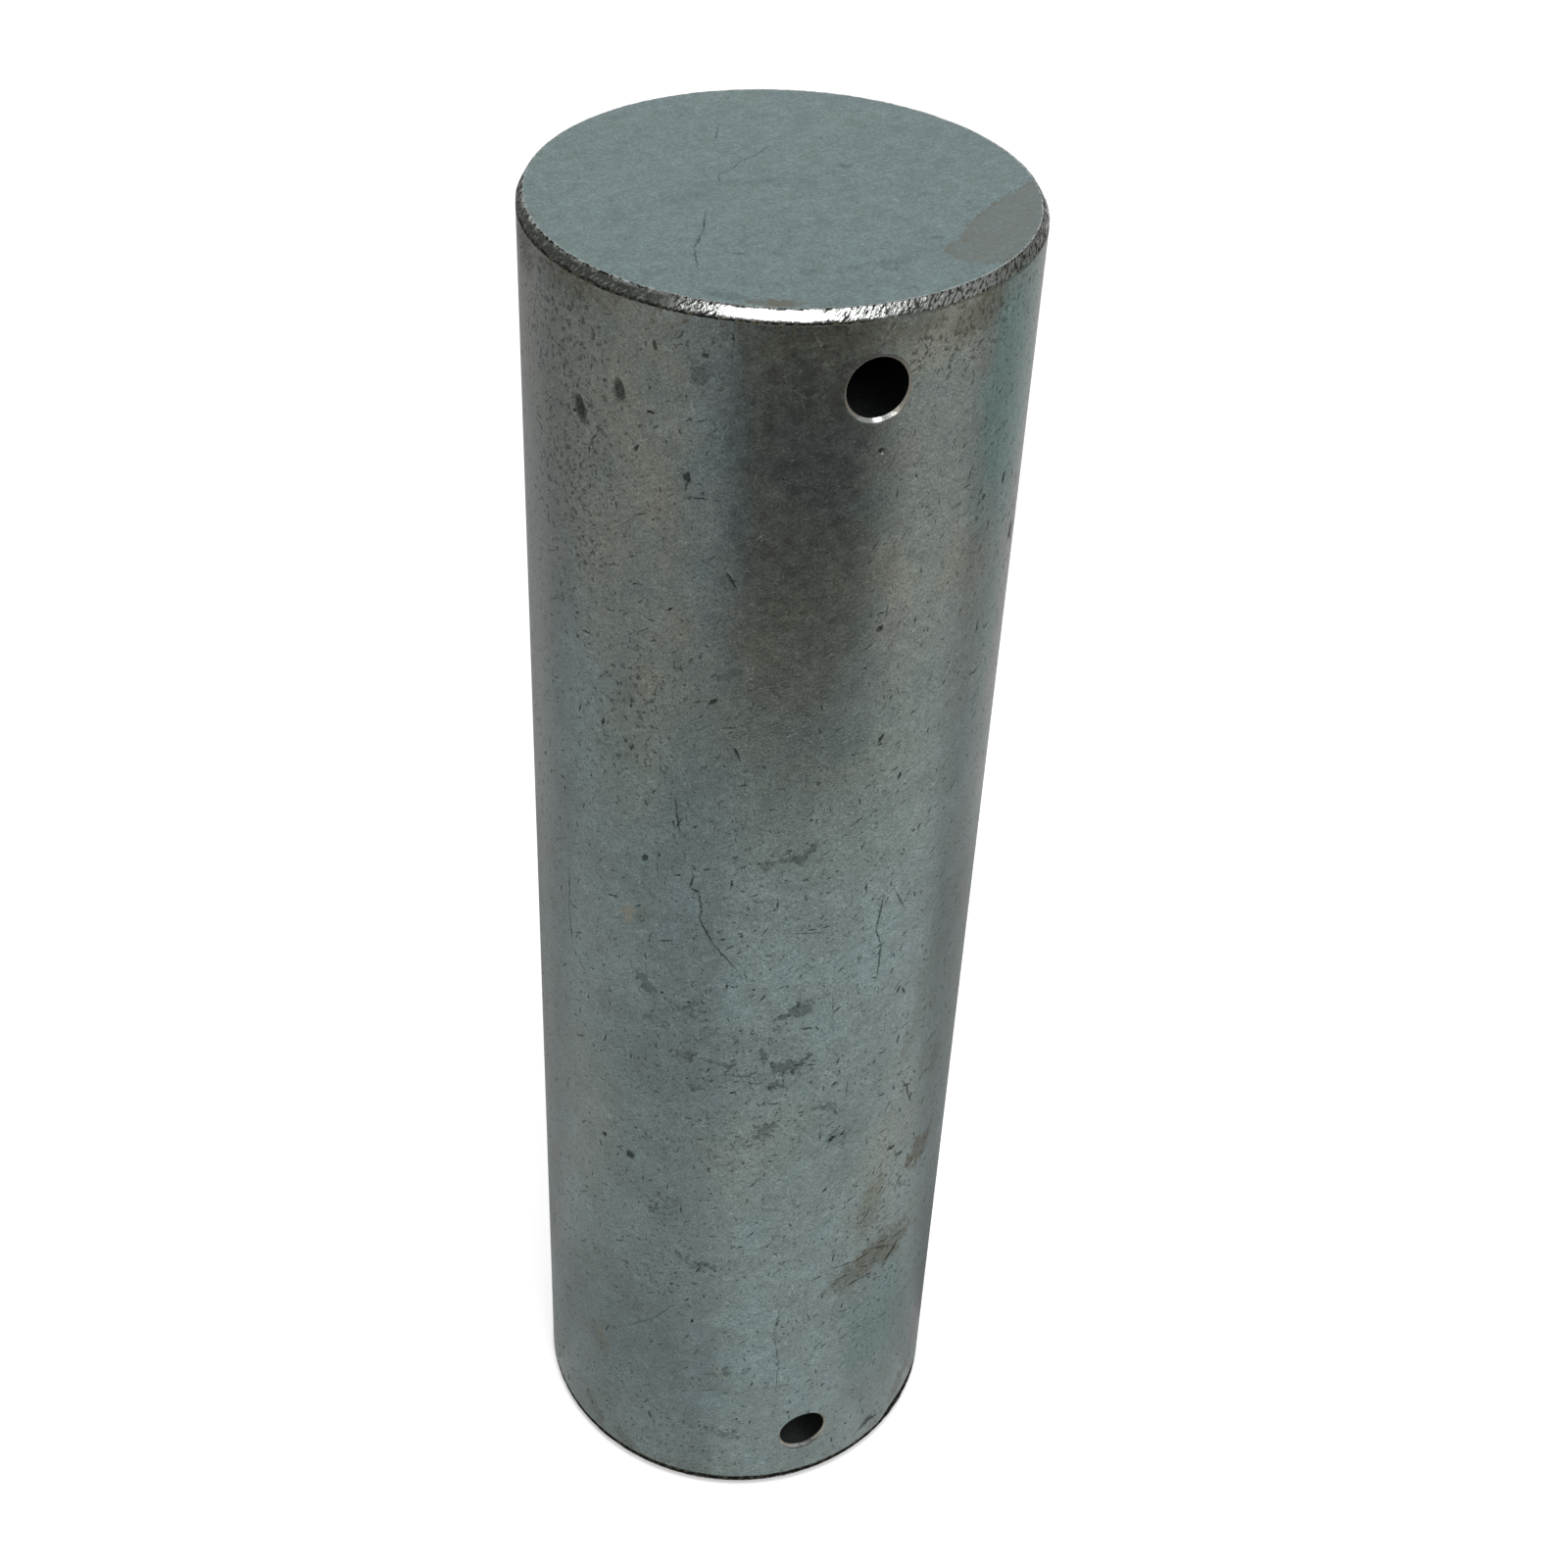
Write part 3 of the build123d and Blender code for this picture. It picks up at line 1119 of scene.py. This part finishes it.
def side_wear(t, n, worn, flake_value):
    """Flakes and short crooked creases, more of them where the plating is worn."""
    large_flake = t.remap(t.multiply_add(worn, 0.05, n.cloudy), 0.69, 0.73)
    flake = t.largest(t.remap(flake_value, 0.635, 0.675), t.product(large_flake, 0.7))
    crease = t.remap(t.math("ABSOLUTE", t.minus(n.cloudy, 0.5)), 0.018, 0.006)
    crease = t.product(crease, t.remap(t.multiply_add(worn, 0.05, n.grain), 0.52, 0.57))
    return t.largest(t.product(flake, 0.55), t.product(crease, 0.52))


def side_darkening(t, n, unrolled_side, crack_side, wear):
    """How much nicks, scratches, cracks, wear and pits darken the side."""
    nicks = strokes(t, crack_side, 1.6, 0.44, 0.11, 0.4, 60, 120)
    ticks = strokes(t, crack_side, 3.2, 0.85, 0.1, 0.42, 50, 100)
    specks = strokes(t, crack_side, 2.3, 0.19, 0.15, 0.32, 0, 180)
    nick = t.product(t.largest(nicks, ticks, specks), t.remap(n.cloudy, 0.36, 0.56, 0.4, 1.0))
    hairs = strokes(t, unrolled_side, 4.2, 1.9, 0.045, 0.6, 35, 70)
    cross_hairs = strokes(t, unrolled_side, 4.8, 2.1, 0.04, 0.5, 150, 60)
    crack = t.product(lines(t, crack_side, CRACKS, side_place), t.remap(n.grain, 0.36, 0.5, 0.35, 1.0))
    stain_line = lines(t, shaken(t, unrolled_side, n.ragged, 0.35), STAIN_LINES, side_place)
    pit_share = t.add("ShaderNodeAttribute", attribute_name="pit").outputs["Fac"]
    pit_tone = t.product(pit_share, t.remap(n.grain, 0.35, 0.6, 0.6, 0.88))
    hair = t.product(t.largest(hairs, cross_hairs), 0.32)
    return t.largest(
        t.product(nick, 0.92), t.product(crack, 0.85), wear, hair, t.product(stain_line, 0.72), pit_tone,
    )


def edge_lines_and_foot_shade(t, n, azimuth, height, from_end):
    """A dark line under each chamfer, which fades within a short way of its end; the wider one over the
    foot is painted shade where the pin meets the floor.
    """
    low_half = t.below(height, LENGTH / 2)
    beyond = t.multiply_add(t.parts(n.ragged)[2], 0.5, t.minus(from_end, CHAMFER_LENGTH))
    dirtier = t.product(t.remap(azimuth, 28.0, 38.0), t.remap(azimuth, 60.0, 50.0))
    line_end = t.multiply_add(low_half, t.multiply_add(dirtier, 1.2, 0.42), 0.4)
    edge_line_and_foot_shade = t.remap(t.minus(beyond, line_end), 0.0, -0.16)
    # the upper line thins out towards the right; the lower one is whole
    thinner = t.remap(azimuth, -8.0, 4.0, 1.0, 0.5)
    upper_share = t.product(thinner, t.remap(n.cloudy, 0.34, 0.46, 0.92, 1.0))
    return t.product(edge_line_and_foot_shade, t.largest(low_half, upper_share))


def side_surface():
    """The side: broad tints, mottling, flakes, stains, scuffs, nicks, scratches and cracks."""
    material, t, place = new_surface("side_plating")
    _, azimuth, unrolled_side, height, from_end = polar_parts(t, place)
    n = side_noises(t, place, unrolled_side)
    loose = shaker(t, place, 0.55, 1.0, 0.6)
    rough_side = shaken(t, shaken(t, unrolled_side, loose, 3.2), n.ragged, 1.5)
    crack_side = shaken(t, unrolled_side, n.ragged, 0.6)
    tone = t.add("ShaderNodeAttribute", attribute_name="tone").outputs
    worn = tone["Alpha"]
    colour = t.darken(tone["Color"], t.product(
        speckled(t, 0.6, n.cloudy), speckled(t, 1.0, n.grain), speckled(t, 1.15, n.fine),
        speckled(t, 0.66, n.streak), speckled(t, 0.5, n.streak_back),
    ))
    colour, dull = side_films(t, n, rough_side, colour)
    flake_value = t.multiply_add(worn, 0.085, n.flaky)
    dark = side_darkening(t, n, unrolled_side, crack_side, side_wear(t, n, worn, flake_value))
    colour = t.darken(colour, t.one_minus(dark))
    light_scratch = strokes(t, crack_side, 3.4, 0.8, 0.06, 0.34, 140, 120)
    colour = t.mix(t.product(light_scratch, 0.3), colour, BRIGHT)
    # a dark line under each chamfer; the lower, wider one is painted shade where the pin stands on the
    # floor
    edge_line_and_foot_shade = edge_lines_and_foot_shade(t, n, azimuth, height, from_end)
    colour = t.mix(edge_line_and_foot_shade, colour, RIM_DIRT_AND_SHADE)
    grime = t.product(t.remap(from_end, 4.5, 0.9), t.remap(flake_value, 0.5, 0.64))
    colour = t.mix(t.product(grime, 0.6), colour, STAIN_BROWN)

    gloss = t.multiply_add(dull, 0.15, t.multiply_add(n.cloudy, 0.14, 0.24))
    gloss = t.multiply_add(edge_line_and_foot_shade, 0.5, t.multiply_add(dark, 0.2, gloss))
    # duller towards the foot
    gloss = t.plus(gloss, t.remap(height, 100.0, 40.0, 0.0, 0.08))
    relief = t.multiply_add(n.grain, 0.015, t.product(n.streak, 0.008))
    matt = t.largest(edge_line_and_foot_shade, t.product(dark, 0.6))
    finish_surface(t, colour, gloss, relief, metallic=t.one_minus(matt))
    return material


def top_stain(t, edge_top, cloudy, on_top):
    """The brown stain of the upper face, darker along its outline."""
    stain = t.product(top_spots(t, edge_top, TOP_STAINS, 0.3), on_top)
    outline = t.remap(stain, 0.98, 0.6, 0.6, 1.0)
    return t.product(t.remap(stain, 0.4, 0.55), outline, t.remap(cloudy, 0.44, 0.55, 0.5, 1.0))


def top_darkening(t, rough_top, crack_top, on_top, patchy, cloudy, grain):
    """How much cracks, spots, creases, nicks and specks darken an end face."""
    dull = t.product(top_spots(t, rough_top, TOP_SPOTS, 0.3), on_top)
    crack = t.product(lines(t, crack_top, TOP_CRACKS, top_place), on_top)
    crack = t.product(crack, t.remap(grain, 0.38, 0.55, 0.3, 1.0))
    crease = t.remap(t.math("ABSOLUTE", t.minus(patchy, 0.5)), 0.004, 0.001)
    crease = t.product(crease, t.remap(cloudy, 0.52, 0.6))
    nicks = strokes(t, crack_top, 3.6, 0.7, 0.06, 0.3, 10, 150)
    specks = strokes(t, crack_top, 2.1, 0.15, 0.12, 0.2, 0, 180)
    return t.largest(
        t.product(crack, 0.8), t.product(dull, 0.4), t.product(nicks, 0.32), t.product(specks, 0.42),
        t.product(crease, 0.4),
    )


def face_surface():
    """The end faces: an even dull plating, and on the upper one the stain, cracks and spots that show."""
    material, t, place = new_surface("face_plating")
    reach, azimuth, _, height, _ = polar_parts(t, place)
    on_top = t.above(height, LENGTH / 2)
    patchy = t.noise(place, 0.2, 4.0, 0.6)
    cloudy = t.noise(place, 0.8, 4.0, 0.62)
    grain = t.noise(place, 2.4, 3.0, 0.7)
    fine = t.noise(place, 4.6, 1.0, 0.6)
    streak = brushed(t, flattened(t, place), 20, 0.3, 2.6)
    ragged = shaker(t, place, 1.6, 4.0, 0.7)
    edge_top = flattened(t, shaken(t, place, ragged, 2.0))
    rough_top = flattened(t, shaken(t, place, ragged, 1.6))
    crack_top = flattened(t, shaken(t, place, ragged, 0.8))
    colour = t.mix(t.remap(patchy, 0.4, 0.62, 0.0, 0.8), TOP_GREY, TOP_BLUE)
    colour = t.darken(colour, t.product(
        speckled(t, 0.85, cloudy), speckled(t, 0.8, grain), speckled(t, 0.95, fine),
        speckled(t, 0.4, streak),
    ))
    colour = t.mix(top_stain(t, edge_top, cloudy, on_top), colour, TOP_STAIN)
    dark = top_darkening(t, rough_top, crack_top, on_top, patchy, cloudy, grain)
    colour = t.darken(colour, t.one_minus(dark))
    bright = t.product(top_spots(t, crack_top, TOP_SPECKS, 0.35), on_top)
    bright = t.largest(bright, t.product(strokes(t, crack_top, 2.6, 0.3, 0.06, 0.16, 0, 180), 0.4))
    colour = t.mix(bright, colour, BRIGHT)
    # the edge is rubbed bright in places
    rubbed = t.remap(reach, FACE_REACH - 0.32, FACE_REACH - 0.16)
    rubbed = t.product(rubbed, t.remap(azimuth, -10.0, 6.0, 0.3, 0.75))
    colour = t.mix(t.product(rubbed, t.remap(grain, 0.4, 0.58)), colour, RUBBED_EDGE_AND_HIGHLIGHT)
    finish_surface(t, colour, t.multiply_add(cloudy, 0.12, 0.34), t.product(grain, 0.006))
    return material


def mouth_parts(t, place, height, in_mouth):
    """A mouth's bright lip, at its lowest part where the bore begins, and its dirty outer ring."""
    nearer_hole = t.remap(height, LENGTH * 0.49, LENGTH * 0.51, *HOLE_HEIGHTS)
    beside = t.minus(height, nearer_hole)
    across = t.parts(place)[0]
    hole_reach = t.math("SQRT", t.multiply_add(across, across, t.product(beside, beside)))
    lip = t.product(in_mouth, t.remap(hole_reach, BORE_RADIUS + 0.36, BORE_RADIUS + 0.26))
    lip = t.product(lip, t.remap(beside, -0.84 * BORE_RADIUS, -0.96 * BORE_RADIUS))
    outer_ring = t.product(in_mouth, t.remap(hole_reach, BORE_RADIUS + 0.25, BORE_RADIUS + 0.33))
    return lip, outer_ring


def rim_zones(t, azimuth, on_rim):
    """Where the chamfer is clean and light, on the front that faces the camera, partly rubbed clean and
    partly a painted highlight where the lamp's reflection falls; and where it is crumbled or battered.
    """
    clean_and_highlit = t.product(t.remap(azimuth, -46.0, -42.0), t.remap(azimuth, 7.0, -1.0))
    crumbled = t.largest(t.remap(azimuth, -27.0, -36.0), t.remap(azimuth, -17.0, -9.0))
    battered = t.product(t.remap(azimuth, -4.0, 6.0), t.remap(azimuth, 92.0, 74.0))
    uneven = t.product(t.largest(t.product(crumbled, clean_and_highlit), battered), on_rim)
    return t.product(clean_and_highlit, on_rim), uneven


def rim_metal(t, azimuth, clean_and_highlit, on_rim):
    """The chamfer's metal: light on the clean front, partly painted highlight, and browner elsewhere;
    darker at the far right, and scraped light to the right of the front.
    """
    far_right = t.remap(azimuth, 30.0, 56.0, 1.0, 0.55)
    scraped = t.product(t.remap(azimuth, -4.0, 4.0), t.remap(azimuth, 38.0, 16.0), on_rim, 0.75)
    return t.mix(t.largest(clean_and_highlit, scraped), t.darken(RIM_BROWN, far_right), RIM_GREY)


def edge_nicks(t, reach, hollows, on_rim):
    """Dark nicks in the chamfer's edge to the face, and dirt along its edge to the side."""
    to_face = t.minus(reach, FACE_REACH)
    nicks = t.product(t.remap(to_face, 0.12, 0.05), t.remap(hollows, 0.47, 0.55), on_rim)
    to_side = t.minus(RADIUS, reach)
    low_line = t.product(t.remap(to_side, 0.12, 0.04), t.remap(hollows, 0.4, 0.5), on_rim)
    return t.largest(t.product(nicks, 0.85), t.product(low_line, 0.8))


def rim_surface():
    """The chamfers and the holes' mouths: barer metal with dirt in its hollows, and the whole lower
    chamfer black as painted shade where the pin stands on the floor.
    """
    material, t, place = new_surface("rim_plating")
    reach, azimuth, unrolled_side, height, from_end = polar_parts(t, place)
    in_mouth = t.above(from_end, CHAMFER_LENGTH + 0.6)
    on_rim = t.one_minus(in_mouth)
    # the lower chamfer is black all round: painted shade where the pin stands on the floor
    at_foot = t.below(height, CHAMFER_LENGTH)
    clean_and_highlit, uneven = rim_zones(t, azimuth, on_rim)
    lip, outer_ring = mouth_parts(t, place, height, in_mouth)
    broad_hollows = t.noise(place, 1.3, 4.0, 0.7)
    pocks = brushed(t, unrolled_side, 38, 1.3, 4.6)
    hollows = t.plus(broad_hollows, t.product(t.minus(pocks, broad_hollows), uneven))
    less_dirt = t.multiply_add(clean_and_highlit, 0.15, t.product(in_mouth, 0.2))
    less_dirt = t.minus(less_dirt, t.product(uneven, clean_and_highlit, 0.14))
    dirt_and_foot_shade = t.largest(t.remap(t.minus(hollows, less_dirt), 0.5, 0.54), t.product(at_foot, on_rim))

    colour = rim_metal(t, azimuth, clean_and_highlit, on_rim)
    mouth_tone = t.remap(height, LENGTH * 0.49, LENGTH * 0.51, 0.9, 0.6)
    colour = t.mix(in_mouth, colour, t.darken(MOUTH_GREY, mouth_tone))
    colour = t.mix(t.product(outer_ring, 0.9), colour, MOUTH_DIRT)
    colour = t.mix(lip, colour, RIM_GREY)
    colour = t.darken(colour, speckled(t, 0.9, t.noise(place, 4.0, 2.0, 0.65)))
    dirt_and_foot_shade_share = t.largest(t.product(dirt_and_foot_shade, t.multiply_add(uneven, 0.2, 0.72)), at_foot)
    dirt_and_foot_shade_share = t.product(dirt_and_foot_shade_share, t.one_minus(lip))
    colour = t.mix(dirt_and_foot_shade_share, colour, RIM_DIRT_AND_SHADE)
    # at the left a painted highlight runs along the edge to the face, where the face's edge highlight
    # spreads onto the chamfer, and light flecks show through the dirt
    painted_edge_highlight = t.remap(t.minus(reach, FACE_REACH), 0.22, 0.1)
    painted_edge_highlight = t.product(painted_edge_highlight, t.remap(hollows, 0.54, 0.46), on_rim)
    painted_edge_highlight = t.product(painted_edge_highlight, t.remap(azimuth, -50.0, -44.0, 0.75, 0.0))
    colour = t.mix(painted_edge_highlight, colour, RUBBED_EDGE_AND_HIGHLIGHT)
    flecks = t.product(t.remap(pocks, 0.55, 0.62), t.remap(azimuth, -44.0, -50.0), on_rim, 0.45)
    flecks = t.product(flecks, t.above(height, LENGTH / 2))
    colour = t.mix(flecks, colour, RIM_FLECK)
    nicks = edge_nicks(t, reach, hollows, on_rim)
    colour = t.mix(nicks, colour, RIM_DIRT_AND_SHADE)

    relief = t.product(t.noise(place, 2.6, 3.0, 0.6), t.multiply_add(uneven, 0.07, 0.016))
    dull_mouth = t.product(in_mouth, t.one_minus(lip), 0.8)
    matt = t.largest(dirt_and_foot_shade_share, nicks, flecks, dull_mouth)
    finish_surface(t, colour, t.multiply_add(dirt_and_foot_shade, 0.2, 0.18), relief, metallic=t.one_minus(matt))
    return material


def bore_surface():
    """Inside the cross holes: dull drilled steel, darker on one side; its very dark grey, and the still
    darker upper hole, are painted shade.
    """
    material, t, place = new_surface("bore_steel")
    grain = t.noise(place, 2.4, 3.0, 0.65)
    x, _, z = t.parts(place)
    colour = t.darken(BORE_GREY_AND_SHADE, speckled(t, 1.8, grain))
    colour = t.darken(colour, t.remap(x, 2.4, -1.6, 0.4, 1.35))
    # painted shade: the upper hole's bore is much darker
    colour = t.darken(colour, t.remap(z, LENGTH * 0.4, LENGTH * 0.6, 1.1, 0.4))
    finish_surface(t, colour, 0.34, t.product(grain, 0.012), metallic=0.85)
    return material


def seen_or_mirrored(t):
    """1 for rays from the camera and for mirrored or see-through ones, 0 for the light on matt things."""
    path = t.add("ShaderNodeLightPath")
    rays = [path.outputs[name] for name in ("Is Camera Ray", "Is Glossy Ray", "Is Transmission Ray")]
    return t.largest(*rays)


# the stage's sizes are in metres, and its azimuths are counted from the camera's

# soft boxes: azimuth, elevation, distance from the upper end, width, height and watts
LAMPS = (
    ("soft_box", 9, 34, 0.55, 0.58, 0.2, 3.1),
    ("lip_light", 54, 56, 0.55, 0.15, 0.15, 0.6),
)
# upright cards: azimuth, distance, half width, top and grey
FLAGS = (
    ("front_flag", 13, 0.172, 0.106, 0.14, 0.13),
    ("front_left_flag", -30, 0.172, 0.035, 0.13, 0.88),
    ("front_right_flag", 50, 0.172, 0.02, 0.13, 0.86),
    ("left_flag", -88, 0.45, 0.345, 0.6, 0.25),
    ("back_left_flag", -146, 0.45, 0.177, 0.2, 0.28),
)
# rings on the floor round the pin
FOOT = (0.0252, 0.05)
NEAR = (0.05, 0.13)
FAR = (0.13, 0.44)
NEAR_AND_FAR = (0.05, 0.44)
# cards on the floor: the azimuths that they lie between, ring and grey
GROUND_CARDS = (
    ("left_ground_card", -100, -60, NEAR_AND_FAR, 0.98),
    ("front_left_ground_card", -60, -12, NEAR_AND_FAR, 0.96),
    # the foot cards are a painted shadow: darker greys round the foot, where the floor lies in the pin's
    # shade, seen only in the metal's reflections
    ("left_foot_card", -170, -110, FOOT, 0.42),
    ("left_foot_card_middle", -110, -75, FOOT, 0.56),
    ("left_foot_card_front", -75, -45, FOOT, 0.72),
    ("front_left_foot_card", -45, -32, FOOT, 0.85),
    ("front_left_foot_card_inner", -32, -6, FOOT, 0.93),
    ("back_left_ground_card", -135, -100, NEAR, 0.56),
    ("far_back_left_ground_card", -135, -100, FAR, 0.64),
    ("back_ground_card", -170, -135, NEAR, 0.36),
    ("far_back_ground_card", -170, -135, FAR, 0.5),
    ("right_foot_card", 120, 170, FOOT, 0.2),
    ("right_foot_card_middle", 95, 120, FOOT, 0.3),
    ("right_foot_card_front", 75, 95, FOOT, 0.64),
    ("front_right_foot_card", 62, 75, FOOT, 0.87),
    ("front_right_foot_card_inner", 48, 62, FOOT, 0.96),
    ("right_ground_card", 95, 170, NEAR, 0.52),
    ("far_right_ground_card", 95, 170, FAR, 0.72),
)
CARD_LIFT = 0.0005
FLOOR_HALF = 12.0
FLOOR_COLOUR = (0.8, 0.8, 0.8)
FLOOR_GLOW = 0.42
WORLD_LIGHT = 0.8


def make_plane(name, corners, material, faces=((0, 1, 2, 3),)):
    """A flat thing of the stage."""
    mesh = bpy.data.meshes.new(name)
    mesh.from_pydata(corners, [], faces)
    mesh.materials.append(material)
    plane = new_object(name, mesh)
    return plane


def make_floor():
    """A pale floor that shows white and still takes the pin's shadow."""
    material, t = new_material("pale_floor")
    matt = t.add("ShaderNodeBsdfDiffuse", {"Color": opaque(FLOOR_COLOUR)}).outputs[0]
    # no glow under the pin and its chamfer, where the floor is dark
    away = t.quotient(t.vector("LENGTH", flattened(t, t.add("ShaderNodeTexCoord").outputs["Object"])), MM)
    lit = t.remap(away, RADIUS - 0.4, RADIUS + 0.4)
    strength = t.product(seen_or_mirrored(t), lit, FLOOR_GLOW)
    glow = t.add("ShaderNodeEmission", {"Strength": strength}).outputs[0]
    both = t.add("ShaderNodeAddShader", {0: matt, 1: glow}).outputs[0]
    t.add("ShaderNodeOutputMaterial", {"Surface": both})
    h = FLOOR_HALF
    make_plane("floor", [(-h, -h, 0), (h, -h, 0), (h, h, 0), (-h, h, 0)], material)


def make_world():
    """An even white studio: plain light on matt things, white where it is seen or mirrored."""
    world = bpy.data.worlds.new("studio")
    bpy.context.scene.world = world
    world.use_nodes = True
    t = Tree(world.node_tree)
    strength = t.remap(seen_or_mirrored(t), 0, 1, WORLD_LIGHT, 1.0, smooth=False)
    background = t.add("ShaderNodeBackground", {"Strength": strength})
    t.add("ShaderNodeOutputWorld", {"Surface": background.outputs[0]})


def polar(azimuth, elevation, distance):
    """A point about the pin, with its azimuth counted from the camera's."""
    a = math.radians(azimuth + CAMERA_AZIMUTH)
    e = math.radians(elevation)
    return Vector((math.sin(a) * math.cos(e), -math.cos(a) * math.cos(e), math.sin(e))) * distance


def make_lamp(name, azimuth, elevation, distance, width, height, watts):
    """A soft box that faces the pin."""
    data = bpy.data.lights.new(name, "AREA")
    data.shape = "RECTANGLE"
    data.size = width
    data.size_y = height
    data.energy = watts
    lamp = new_object(name, data)
    aim = Vector((0, 0, LENGTH * MM))
    lamp.location = aim + polar(azimuth, elevation, distance)
    lamp.rotation_mode = "QUATERNION"
    lamp.rotation_quaternion = (aim - lamp.location).to_track_quat("-Z", "Y")
    lamp.visible_camera = False


def make_card(name, corners, grey, faces=((0, 1, 2, 3),)):
    """An even grey card that shows only in the metal's reflections, as flags do in a studio."""
    material, t = new_material(name)
    glow = t.add("ShaderNodeEmission", {"Color": opaque((grey, grey, grey))})
    t.add("ShaderNodeOutputMaterial", {"Surface": glow.outputs[0]})
    card = make_plane(name, corners, material, faces)
    card.visible_camera = False
    card.visible_diffuse = False
    card.visible_transmission = False
    card.visible_shadow = False


def make_flag(name, azimuth, distance, half_width, top, grey):
    """An upright card that stands on the floor."""
    middle = polar(azimuth, 0, distance)
    across = polar(azimuth + 90, 0, half_width)
    high = Vector((0, 0, top))
    corners = [middle - across, middle + across, middle + across + high, middle - across + high]
    make_card(name, [tuple(c) for c in corners], grey)


def make_ground_card(name, first, last, ring, grey):
    """A card on the floor, over a ring round the pin from one azimuth to another."""
    steps = 12
    lift = Vector((0, 0, CARD_LIFT))
    turns = [first + (last - first) * k / steps for k in range(steps + 1)]
    points = [tuple(polar(turn, 0, distance) + lift) for turn in turns for distance in ring]
    faces = [(2 * k, 2 * k + 1, 2 * k + 3, 2 * k + 2) for k in range(steps)]
    make_card(name, points, grey, faces)


def make_camera():
    """The photograph's camera."""
    data = bpy.data.cameras.new("camera")
    data.sensor_width = SENSOR
    data.lens = FOCAL_PIXELS / PHOTO_SIDE * SENSOR
    data.clip_start = NEAREST
    camera = new_object("camera", data)
    right, up, ahead, eye = camera_axes()
    camera.matrix_world = Matrix.Translation(eye * MM) @ Matrix((right, up, -ahead)).transposed().to_4x4()
    bpy.context.scene.camera = camera


body = make_pin()
for make_surface in (side_surface, face_surface, rim_surface, bore_surface):
    body.data.materials.append(make_surface())
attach(body, "root")
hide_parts(NODE)

make_floor()
make_world()
for lamp in LAMPS:
    make_lamp(*lamp)
for flag in FLAGS:
    make_flag(*flag)
for card in GROUND_CARDS:
    make_ground_card(*card)
make_camera()

bpy.context.scene.view_settings.view_transform = "Standard"
